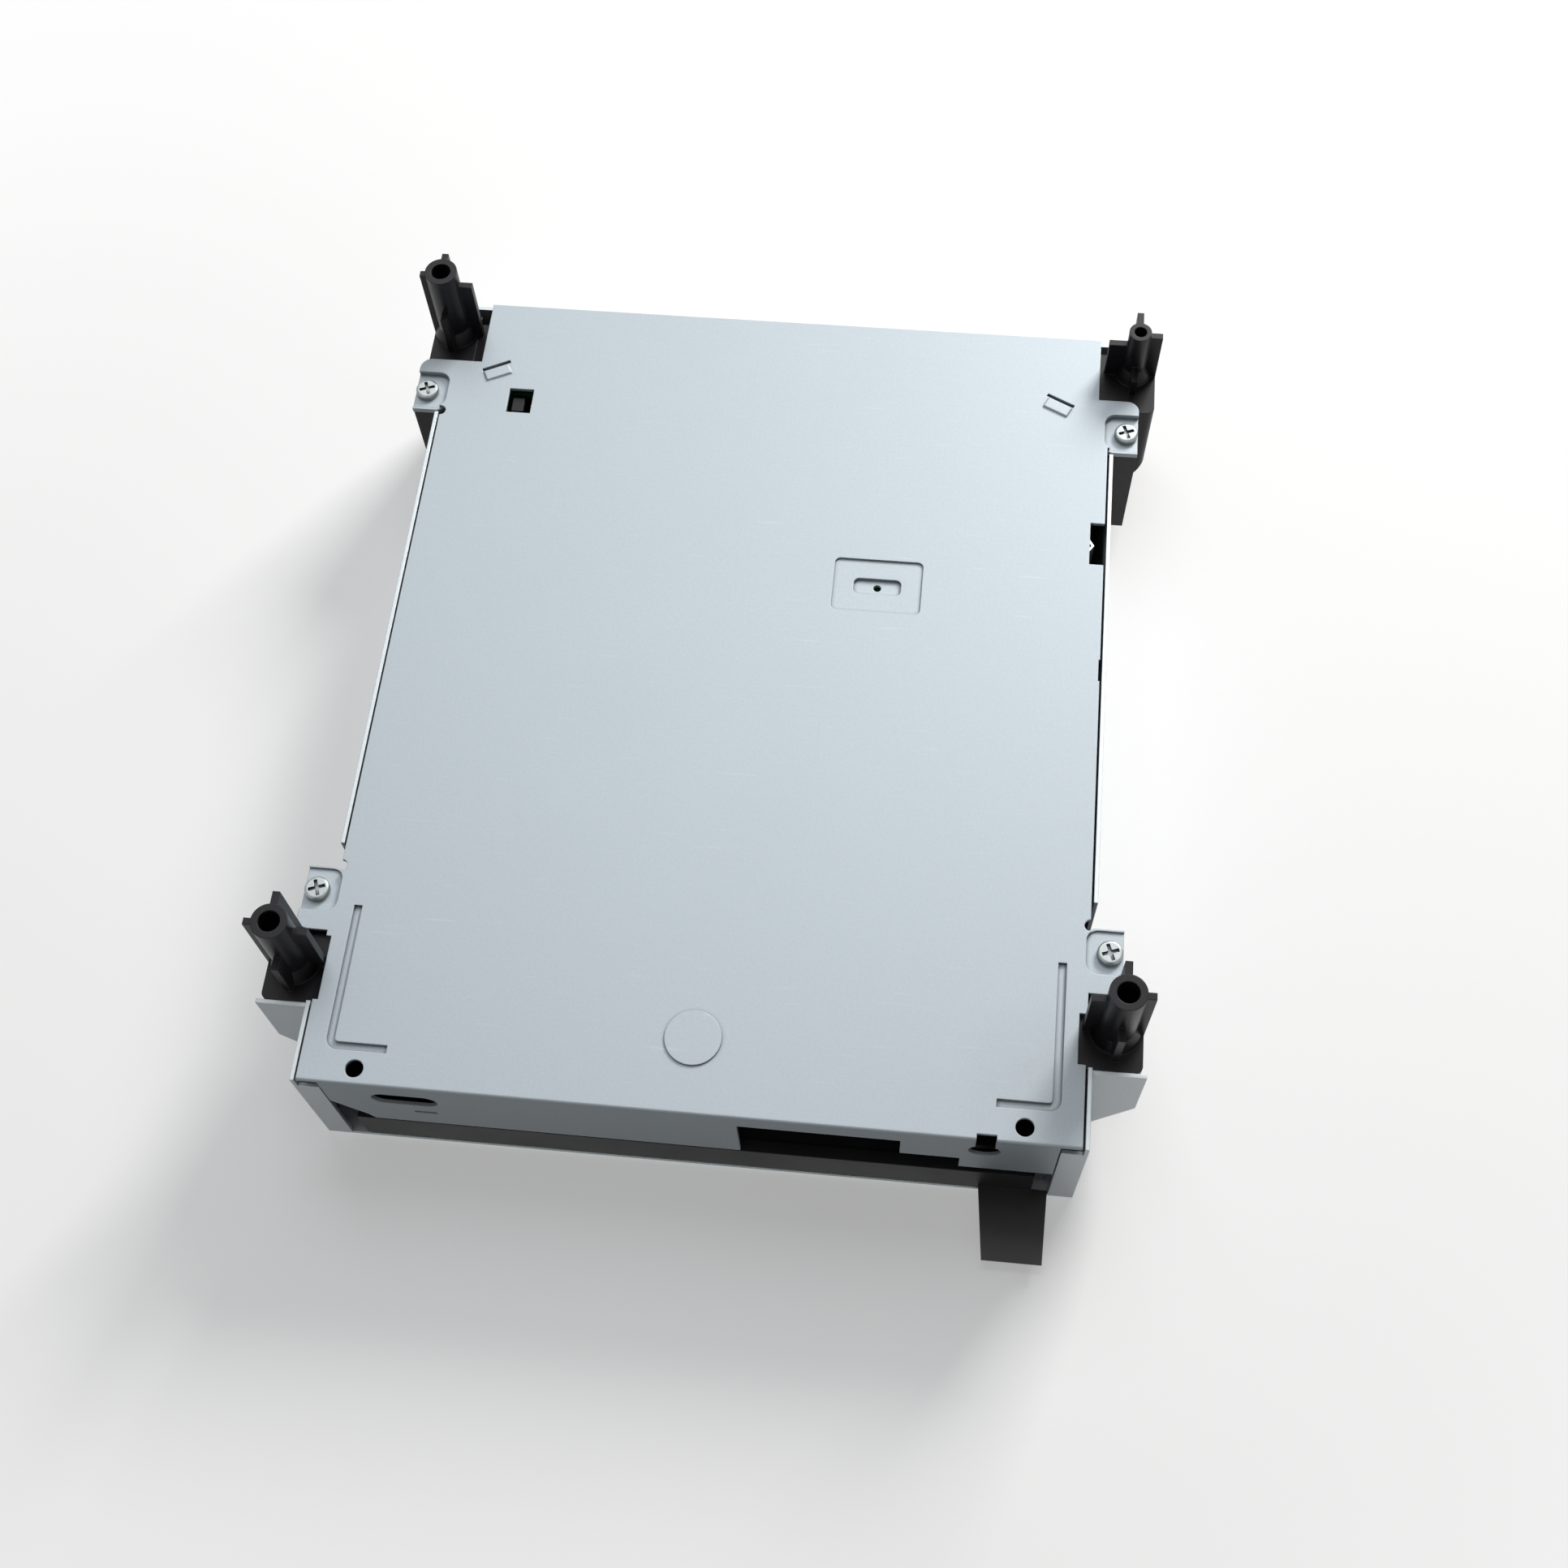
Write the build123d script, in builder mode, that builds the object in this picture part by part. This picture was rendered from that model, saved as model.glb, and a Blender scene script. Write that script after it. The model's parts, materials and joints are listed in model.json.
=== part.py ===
# Console disc drive, lying on its top cover with the mounting legs pointing up.
# Millimetres. +X right, +Y to the rear, +Z out of the underside.
# The origin is the centre of the top cover's flat outer face.
from math import cos, pi, radians, sin
import os

from build123d import *

os.makedirs("parts", exist_ok=True)

# Case
width = 146.0
depth = 184.0
height = 33.0
sheet = 0.8
wall_gap = 0.5
press_depth = 0.7
corner_r = 1.5
clear = 0.3
run = 0.05
over = 1.0
near = 0.01
fold_r = 0.5
half_w = width / 2
half_d = depth / 2
front_y = -half_d
rear_y = half_d
plate_low = height - sheet

# Screwed tabs of the bottom cover, at front and rear on both sides
tab_reach = 6.5
tab_width = 12.5
tab_front_y = front_y + 36.4
tab_rear_y = rear_y - 22.4
screw_out = 3.9
screw_front_y = front_y + 38.7
screw_rear_y = rear_y - 24.4
pad_depth = 1.2
pad_r = 4.6
pad_corner_r = 2.4
tab_root = 2.0
tab_r = 2.6
screw_play = 0.2
screw_head_r = 2.5
screw_head_h = 1.4
screw_shank_r = 1.4
screw_length = 9.0
cross_depth = 0.6
cross_width = 0.7
cross_length = 2 * screw_head_r - 1.6
cross_turn = 20.0

# Mounting legs
leg_r = 3.5
leg_bore_r = 2.1
leg_height = 18.0
small_leg_r = 2.4
small_bore_r = 1.35
small_leg_height = 12.0
leg_front_x = half_w + 5.5
leg_front_y = front_y + 24.0
leg_rear_x = -half_w - 0.7
leg_rear_y = rear_y - 6.5
small_leg_x = half_w + 5.1
small_leg_y = rear_y - 6.7
rib_t = 1.4
rib_reach = 6.2
leg_wall = 1.8
block_slope = 4.0
foot_h = 3.0
foot_flare = 1.4
bore_floor = 2.0
inner_rib_short = 4.0
outer_rib_short = 1.0
rear_rib_short = 0.5
front_rib_short = 9.0
ear_front_x = half_w + 11.5
ear_rear_x = half_w + 10.0
ear_front_low = front_y + 15.8
ear_front_high = front_y + 30.5
ear_rear_low = rear_y - 17.4
ear_top = height - 2.0
ear_foot = 2.0
ear_bend = 13.0
leg_opening_low = 4.0
rear_outer_x = half_w + 5.5
rear_block_end = rear_y - 2.0

# Disc tray
tray_half = half_w - 8.5
tray_front = front_y + 2.2
tray_rear = rear_y - 30.0
tray_low = 5.0
tray_high = 11.6
tray_floor = 1.4
tray_r = 3.0
rim_w = 3.5
rim_end = 3.0
scoop_front_r = 9.0
scoop_side_r = 8.0
scoop_side_y = 38.0
scoop_floor = 1.0
slot_over = 2.0
disc_r = 60.0
disc_recess_r = 60.7
recess_depth = 4.6
small_disc_r = 40.7
small_step = 0.8
slot_half = 20.0
face_half = half_w - 7.0
face_low = 1.5
face_gap = 0.1
face_overlap = 0.4
rack_x = 50.0
rack_width = 4.0
rack_low = 11.2
rack_high = 13.8
rack_back = 1.15
rack_front_gap = 4.0
rack_rear_gap = 2.0
rack_shift = 5
rack_end_gap = 8.0
tooth_module = 1.0
tooth_tip = -0.85
tooth_root = 1.2
tooth_tip_half = 0.3
tooth_root_half = 1.0

# Spindle and clamp
spindle_y = front_y + 72.0
table_r = 14.8
table_low = 8.4
table_t = 1.6
hub_r = 7.4
hub_tip_r = 5.6
hub_height = 2.2
hub_rim = 0.6
table_neck_r = 3.0
hub_claws = 3
claw_l = 1.6
claw_w = 1.0
claw_h = 1.0
shaft_r = 1.0
rotor_r = 13.5
rotor_low = 11.0
rotor_high = 16.6
rotor_wall = 0.6
rotor_edge = 0.8
rotor_floor = 0.4
shaft_gap = 0.4
stator_r = 10.5
stator_ring = 1.4
stator_core_r = 5.0
stator_h = 2.6
stator_low = rotor_high - 3.6
stator_slots = 9
stator_gap_turn = 20.0
stator_gap_w = 2.4
stator_gap_h = 1.2
stator_arm_w = 2.0
stator_arm_l = stator_r - 2.4
stator_arm_middle = (stator_r + 3.4) / 2
sleeve_low = rotor_low + 2.0
sleeve_gap = 0.2
sleeve_r = 3.0
motor_plate_t = 1.2
motor_plate_rim = 0.8
motor_plate_w = 30.0
motor_plate_d = 18.0
motor_plate_y = 6.0
clamp_flange_r = 15.8
clamp_neck_r = 11.0
clamp_low = 1.9
clamp_high = 7.1
clamp_flange_t = 1.2
clamp_pocket_r = 8.2
clamp_pocket_step = 1.0
clamp_pocket_lip = 1.5
clamp_floor = 0.8
magnet_r = clamp_pocket_r - 1.4
magnet_hole_r = 2.0
magnet_t = 1.6
magnet_low = clamp_low + clamp_flange_t + clamp_floor
bridge_low = 3.4
bridge_t = 0.9
bridge_half = half_w - 3.2
bridge_depth = 38.0
bridge_gap = 1.0
bridge_r = 2.0
bridge_hole_r = clamp_neck_r + 1.2
bridge_slot_l = 30.0
bridge_slot_w = 14.0
bridge_slot_pitch = 2 * bridge_half - 40.0

# Guides of the tray on the chassis
guide_inner = half_w - 11.5
guide_hook_t = 1.2
hook_length = 6.0
hook_overlap = 1.0
guide_rib_t = 2.0

# Cam and lift
cam_t = 2.0
cam_left = 44.0
cam_right = 36.0
cam_low = tray_high + 1.0
cam_high = 26.6
cam_travel = 12.4
cam_pin_x = 26.0
cam_pin_z = 15.4
cam_pin_r = 1.5
cam_slot_r = 1.9
cam_tail = 12.0
cam_slot_l = 14.0
cam_slot_w = 3.0
cam_slot_drop = 4.0
lift_angle = 4.2
hinge_y = rear_y - 26.0
hinge_z = 19.0
hinge_r = 2.0
lift_half = 46.0
lift_front = spindle_y - 26.0
cam_y = lift_front - 6.0
lift_rear = hinge_y + 5.0
lift_low = 17.0
lift_high = 21.0
lift_window_half = 38.5
lift_window_front = lift_front + 7.0
lift_window_rear = lift_rear - 4.5
lift_r = 3.0
lift_window_r = 2.0
shelf_w = 15.0
shelf_d = 11.0
shelf_t = 1.0
shelf_r = 1.0
shelf_hole_r = 1.2
shelf_spread = 1.09
pin_gap = 0.6
upright_half = 3.5
upright_t = 2.4
upright_drop = 2.6
bearing_r = hinge_r + 2.2
bearing_length = 6.0
bearing_inset = 2.0

# Drive gears
gear_x = 38.0
gear_y = front_y + 22.0
gear_teeth = 24
pinion_teeth = 12
gear_root = 1.2
gear_tip = 0.85
root_share = 0.33
tip_share = 0.13
motor_x = -30.0
motor_y = front_y + 22.0
motor_r = 11.0
motor_pulley_r = 4.0
big_pulley_r = 12.3
post_r = 2.0
gear_collar = 1.8
motor_flat = 4.0
motor_shaft_r = 1.0
motor_shaft_length = 4.5
motor_bore_depth = 5.0
motor_gap = 1.4
pulley_rim = 0.1
pulley_opening = 1.5
deck_slot_l = 12.0
deck_slot_w = 4.0
deck_slot_out = 20.0
deck_slot_y = 8.0
belt_low = 16.2
belt_high = 17.4
belt_t = 1.0
pulley_low = 15.6
pulley_high = 18.0
deck_low = 19.0
deck_t = 1.8

# Chassis
rail_inner = half_w - 6.5
rail_t = 2.0
rail_rear = rear_y - 4.0
rail_top = plate_low - 1.5
deck_front_rear = cam_y - cam_t / 2 - clear
opening_half = rail_inner - 12.5
rear_deck_front = lift_rear + 3.0
rail_outer = rail_inner + rail_t
rail_front = front_y + 2.7
rail_rib_first = front_y + 60.0
rail_rib_pitch = 20.0
rail_rib_count = 4
rail_rib_out = 1.6
rail_rib_half = 0.6
tray_hook_y = tray_front + 6.0
rear_wall_t = 1.6
cam_wall_low = 1.4
seat_inside = 4.0
seat_outside = 2.0

# Traverse carried on rubber dampers
traverse_half = 36.0
traverse_front = lift_window_front + 2.0
traverse_rear = lift_window_rear - 1.7
traverse_low = 18.5
traverse_t = 1.0
damper_r = 3.6
damper_neck_r = 2.3
damper_bore_r = 1.3
damper_t = 1.2
damper_inset_x = 4.0
damper_inset_y = 4.5
damper_head_r = 2.8
damper_head_h = 1.0
damper_shank_r = 1.1
damper_shank_over = 0.8
traverse_r = 3.0
traverse_slot_x = 22.0
traverse_slot_y = 6.0
traverse_slot_l = 9.0
traverse_slot_w = 3.0
rod_x = 25.0
rod_z = 15.3
rod_r = 1.5
rod_front = spindle_y + 8.0
rod_rear = hinge_y - 3.0
holder_t = 3.0
holder_half = 3.0
holder_drop = 2.6
screw_x = -33.0
lead_r = 1.5
lead_front = spindle_y + 11.0
lead_rear = rod_rear - 13.0
sled_motor_r = 4.8
sled_motor_length = 14.0
sled_motor_flat = 3.2
sled_foot_half = 3.6
sled_foot_low = 3.0
sled_foot_gap = 1.0
lead_bearing_half = 2.6
lead_bearing_t = 2.4
lead_bore_depth = 3.0
lead_end = 2.8
lead_tail = 0.4
lens_y = spindle_y + 23.0
lens_r = 2.2
pickup_half = 20.5
pickup_front = 8.0
pickup_rear = 22.0
pickup_low = 12.3
pickup_high = 18.0
pickup_lid_t = 1.6
pickup_lid_w = 16.0
pickup_lid_d = 15.2
pocket_w = 15.0
pocket_r = 1.0
pocket_middle = lens_y + 1.0
rotor_room_r = rotor_r + 1.4
eye_half = 2.9
eye_out = 3.2
eye_end = 2.0
fork_front = 6.0
fork_rear = 12.0
fork_out = 2.4
fork_w = 6.2
fork_x = 1.5
nut_front = 6.0
nut_rear = 14.0
nut_half = 2.6
nut_gap = 0.4
holder_w = 11.0
holder_h = 4.0
holder_rise = 1.6
wing_low = 0.6
wing_d = 4.0
wing_h = 1.8
lens_rim = 0.9
lens_rise = 2.1
lens_seat_h = 1.0
lens_fit = 0.02
lens_t = 1.7
lens_edge_r = 0.8
carrier_window_half = pickup_half - 2.0
carrier_window_front = lens_y - pickup_front - 1.0
carrier_window_rear = rod_rear - 4.0
carrier_window_depth = carrier_window_rear - carrier_window_front - 2.0

# Electronics
board_low = plate_low - 3.2
board_t = 1.2
board_half = rail_inner - 4.5
board_front = front_y + 56.0
board_rear = rail_rear - 2.0
board_r = 1.5
board_window_gap = 1.0
board_post_r = post_r + 0.8
board_post_in = 4.0
board_post_front = board_front + 6.0
board_post_rear = board_rear - 10.0
chip_t = 1.1
chips = (
    (-24.0, 60.0, 24.0, 24.0),
    (-30.0, 22.0, 14.0, 20.0),
    (2.0, 18.0, 10.0, 10.0),
    (34.0, 36.0, 9.0, 7.0),
)
data_x = 30.0
data_w = 17.0
data_h = 5.6
power_x = 52.0
power_w = 14.0
power_h = 6.6
socket_depth = 10.0
socket_wall = 1.0
socket_floor = 2.0
data_corner_r = 0.4
contact_w = data_w - 6.5
contact_t = 1.2
contact_shift = 0.4
key_x = 3.8 - data_w / 2
key_h = 2.2
key_shift = -0.2
power_pitch = 2.0
power_columns = 5
power_rows = 2
power_pin = 0.6
power_pin_length = 6.0
mouth_left = data_x - 12.0
mouth_right = power_x + 10.0
mouth_low = board_low - 9.0

cable_w = 18.0
cable_t = 0.3
cable_y = board_rear - 6.0
cable_socket_h = 2.2
cable_socket_half = 2.0
cable_end = 1.0

switch_x = -54.0
switch_y = front_y + 11.0
switch_w = 8.0
switch_d = 6.0
switch_h = 4.6
switch_button_r = 0.9
switch_button_h = 1.8

# Earthing spring at the plate's right edge
spring_drop = 6.0
spring_gap = 0.25
spring_bow = 2.2
spring_half = 4.6
spring_flat = 3.0
spring_t = 0.5

# Film tongue at the front
tongue_x = half_w - 10.6
tongue_root = 13.4
tongue_tip = 11.6
tongue_reach = 14.5
tongue_lean = 0.5
film_t = 0.5
film_rise = 1.0
film_overlap = 0.1

# Pressed marks and openings of the bottom cover
groove_w = 1.6
groove_x = half_w - 5.0
groove_front = front_y + 7.3
groove_rear = front_y + 35.8
groove_inner = groove_x - 11.0
round_hole_r = 1.75
round_hole_x = half_w - 10.6
round_hole_y = front_y + 3.1
boss_r = 5.0
boss_y = front_y + 14.7
label_x = 26.4
label_y = 24.5
label_w = 18.5
label_d = 12.7
label_inner_w = 9.9
label_inner_d = 3.8
pin_hole_r = 0.8
window_x = 17.2 - half_w
window_y = rear_y - 26.1
window_w = 5.4
window_d = 6.4
window_hook_out = 2.0
window_hook_in = 0.6
window_hook_front = 1.5
window_hook_rear = 2.0
window_hook_gap = 1.0
lance_x = half_w - 10.5
lance_y = rear_y - 17.0
lance_w = 6.5
lance_d = 3.4
side_slot_y = 38.5
side_slot_d = 10.3
side_slot_w = 3.0
notch_r = 1.2
notch_out = 7.5
corner_cut_left = 7.0
corner_cut_right = 2.2
setback_left = 1.0
setback_left_y = front_y + 22.5
setback_left_d = 13.0
setback_right = 1.5
setback_right_y = front_y + 21.0
setback_right_d = 10.0
edge_notch = 0.3
edge_notch_y = 8.0
edge_notch_d = 5.0
label_r = 1.2
label_back_r = 1.4
label_depth = press_depth * 0.6
lance_turn = 26.0
lance_in = 0.6
lance_back = 1.9
lance_taper = 35.0

# Front flange of the bottom cover
flange_left = 10.0 - half_w
flange_right = 9.5
flange_low = tray_high + 0.8
flange_mid_right = 51.3
flange_mid_low = height - 12.7
flange_end_low = height - 18.0
flange_notch_top = height - 5.0
flange_notch_right = 40.0
flange_slot_x = 19.2 - half_w
flange_slot_z = height - 7.5
flange_slot_w = 12.7
flange_slot_h = 5.4
hook_x = half_w - 17.4
hook_r = 3.0
hook_z = height - 6.8
hook_w = 3.7
hook_plate_d = 1.2
hook_middle = height - 3.0
hook_open = 8.0
wing_rise = 9.0
wing_foot = 2.0
wing_cut = 1.0
small_slot_x = 3.0
small_slot_drop = 6.5
small_slot_l = 4.6
small_slot_h = 1.2

# Pressed marks and openings of the top cover
press_r = 18.0
bead_x = 45.0
bead_length = 96.0
bead_w = 5.0
bead_y = 2.0
bead_r = bead_w / 2.1
wall_slot_l = 9.0
wall_slot_h = 3.0
wall_slot_low = 16.0
wall_slot_places = (-8.0, 22.0)
vent_first = -50.0
vent_pitch = 12.0
vent_count = 6
vent_half = 4.0
vent_low = 15.0
vent_high = 17.0
rear_wall_gap = 0.2
wall_top = height - 0.5
corner_tab = 3.6
corner_tab_top = height - 4.0

# Worked-out values
wall_in = half_w + wall_gap
wall_out = wall_in + sheet
screw_spots = [(side * (half_w + screw_out), y) for side in (-1, 1) for y in (screw_front_y, screw_rear_y)]
screw_rows = [(side, y) for side in (-1, 1) for y in (screw_front_y, screw_rear_y)]
tab_spots = [(side, y) for side in (-1, 1) for y in (tab_front_y, tab_rear_y)]
pad_low = height - pad_depth - sheet
tab_outer = half_w + tab_reach
bridge_front = spindle_y - bridge_depth / 2
bridge_back = spindle_y + bridge_depth / 2
deck_top = deck_low + deck_t
pulley_x = gear_x - (gear_teeth + pinion_teeth) * tooth_module / 2
block_low = leg_opening_low + clear
tray_floor_top = tray_low + recess_depth + tray_floor
rack_teeth = int((tray_rear - tray_front - rack_end_gap) / (pi * tooth_module))
cam_drop = (hinge_y - cam_y) * radians(lift_angle)
damper_spots = [
    (side * (traverse_half - damper_inset_x), y)
    for side in (-1, 1)
    for y in (traverse_front + damper_inset_y, traverse_rear - damper_inset_y)
]
pickup_y0 = lens_y - pickup_front
pickup_y1 = lens_y + pickup_rear
socket_front = half_d - socket_depth
belt_span = pulley_x - motor_x
small_belt_r = motor_pulley_r - belt_t + run * 2
large_belt_r = big_pulley_r - belt_t + run * 2
belt_lean = (large_belt_r - small_belt_r) / belt_span


def gear_outline(teeth, bore):
    """Spur gear: four corners a tooth round the root circle, with a round bore."""
    pitch = teeth * tooth_module / 2
    root = pitch - gear_root * tooth_module
    tip = pitch + gear_tip * tooth_module
    step = 2 * pi / teeth
    corners = ((root, -root_share), (tip, -tip_share), (tip, tip_share), (root, root_share))
    turns = [(r, (tooth + part) * step) for tooth in range(teeth) for r, part in corners]
    with BuildSketch() as outline:
        Polygon(*[(r * cos(a), r * sin(a)) for r, a in turns], align=None)
        Circle(bore, mode=Mode.SUBTRACT)
    return outline.sketch


def press(outline, grown, face, inward, deep):
    """Press an outline into a sheet: metal is added behind it and taken away in front."""
    extrude(Plane.XY.offset(face + inward * sheet) * grown, amount=inward * deep)
    extrude(Plane.XY.offset(face) * outline, amount=inward * deep, mode=Mode.SUBTRACT)


def disc_outline(x, y, r):
    """Round outline at a place."""
    with BuildSketch() as outline:
        with Locations((x, y)):
            Circle(r)
    return outline.sketch


def block_outline(x, y, w, d, r):
    """Rectangle with rounded corners at a place."""
    with BuildSketch() as outline:
        with Locations((x, y)):
            RectangleRounded(w, d, r)
    return outline.sketch


def pad_outline(side, y, grow, over):
    """Sunk pad round a cover screw, open at the tab's outer edge."""
    inner = half_w + screw_out - pad_r - grow
    outer = tab_outer + over
    with BuildSketch() as outline:
        with Locations((side * (inner + outer) / 2, y)):
            Rectangle(outer - inner, 2 * (pad_r + grow))
        fillet(outline.vertices().group_by(Axis.X)[0 if side > 0 else -1], pad_corner_r)
    return outline.sketch


def groove_outline(side, w):
    """L-shaped groove near a front corner."""
    with BuildSketch() as outline:
        with BuildLine():
            FilletPolyline(
                (side * groove_x, groove_rear),
                (side * groove_x, groove_front),
                (side * groove_inner, groove_front),
                radius=corner_r,
            )
        trace(line_width=w)
    return outline.sketch


def case_box(x0, x1, y0, y1, z0, z1, mode=Mode.ADD):
    """Box between two corners of the drive's frame, in the part being built."""
    with Locations(((x0 + x1) / 2, (y0 + y1) / 2, (z0 + z1) / 2)):
        Box(abs(x1 - x0), abs(y1 - y0), abs(z1 - z0), mode=mode)


def belt_outline(grow):
    """Outline of an open belt: two arcs joined by the common tangents."""
    small = small_belt_r + grow
    large = large_belt_r + grow
    rise = (1 - belt_lean ** 2) ** 0.5
    small_x = motor_x - small * belt_lean
    large_x = pulley_x - large * belt_lean
    with BuildSketch() as outline:
        with BuildLine():
            Line((small_x, motor_y + small * rise), (large_x, gear_y + large * rise))
            ThreePointArc(
                (large_x, gear_y + large * rise),
                (pulley_x + large, gear_y),
                (large_x, gear_y - large * rise),
            )
            Line((large_x, gear_y - large * rise), (small_x, motor_y - small * rise))
            ThreePointArc(
                (small_x, motor_y - small * rise),
                (motor_x - small, motor_y),
                (small_x, motor_y + small * rise),
            )
        make_face()
    return outline.sketch


# Top cover: a folded tray of sheet metal, open to the front and upwards
with BuildPart() as top_cover:
    with BuildSketch():
        Rectangle(2 * wall_out, depth)
    extrude(amount=wall_top)
    with BuildSketch(Plane.XY.offset(sheet)):
        with Locations((0, -sheet)):
            Rectangle(2 * wall_in, depth)
    extrude(amount=wall_top, mode=Mode.SUBTRACT)
    fillet(top_cover.edges().filter_by(Axis.Z).group_by(Axis.Y)[-1], sheet)
    for side in (-1, 1):
        # openings for the legs and screw bosses
        for y0, y1 in ((ear_front_low, tab_front_y + tab_width), (screw_rear_y - pad_r - over, half_d)):
            case_box(side * wall_in, side * (wall_out + over), y0, y1, leg_opening_low, height, Mode.SUBTRACT)
        # corner tab folded across the front
        case_box(side * (half_w - corner_tab), side * wall_out, front_y, front_y + sheet, 0, corner_tab_top)
        # ear folded outwards in front of the leg
        with BuildSketch(Plane.XZ.offset(-ear_front_low)):
            with BuildLine():
                Polyline(
                    (side * wall_in, sheet),
                    (side * (wall_out + ear_foot), sheet),
                    (side * ear_front_x, ear_bend),
                    (side * ear_front_x, ear_top),
                    (side * wall_in, ear_top),
                    close=True,
                )
            make_face()
        extrude(amount=sheet)
        # slots in the wall
        for y in wall_slot_places:
            case_box(
                side * wall_in,
                side * (wall_out + over),
                y - wall_slot_l / 2,
                y + wall_slot_l / 2,
                wall_slot_low,
                wall_slot_low + wall_slot_h,
                Mode.SUBTRACT,
            )
        press(
            block_outline(side * bead_x, bead_y, bead_w, bead_length, bead_r),
            block_outline(side * bead_x, bead_y, bead_w + sheet, bead_length + sheet, bead_r),
            0,
            1,
            press_depth,
        )
    # round press under the clamp
    press(
        disc_outline(0, spindle_y, press_r),
        disc_outline(0, spindle_y, press_r + sheet / 2),
        0,
        1,
        press_depth,
    )
    # opening behind the sockets
    case_box(mouth_left, mouth_right, half_d - 2 * over, half_d + over, mouth_low, height, Mode.SUBTRACT)
    # the rear wall ends under the plate
    case_box(
        -wall_out - over,
        wall_out + over,
        half_d - 2 * over,
        half_d + over,
        plate_low - rear_wall_gap,
        height,
        Mode.SUBTRACT,
    )
    # vent slots in the rear wall
    for vent in range(vent_count):
        x = vent_first + vent * vent_pitch
        case_box(
            x - vent_half,
            x + vent_half,
            half_d - 2 * over,
            half_d + over,
            vent_low,
            vent_high,
            Mode.SUBTRACT,
        )
top_cover.part.label = "top_cover"
export_step(top_cover.part, "parts/top_cover.step")

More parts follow.
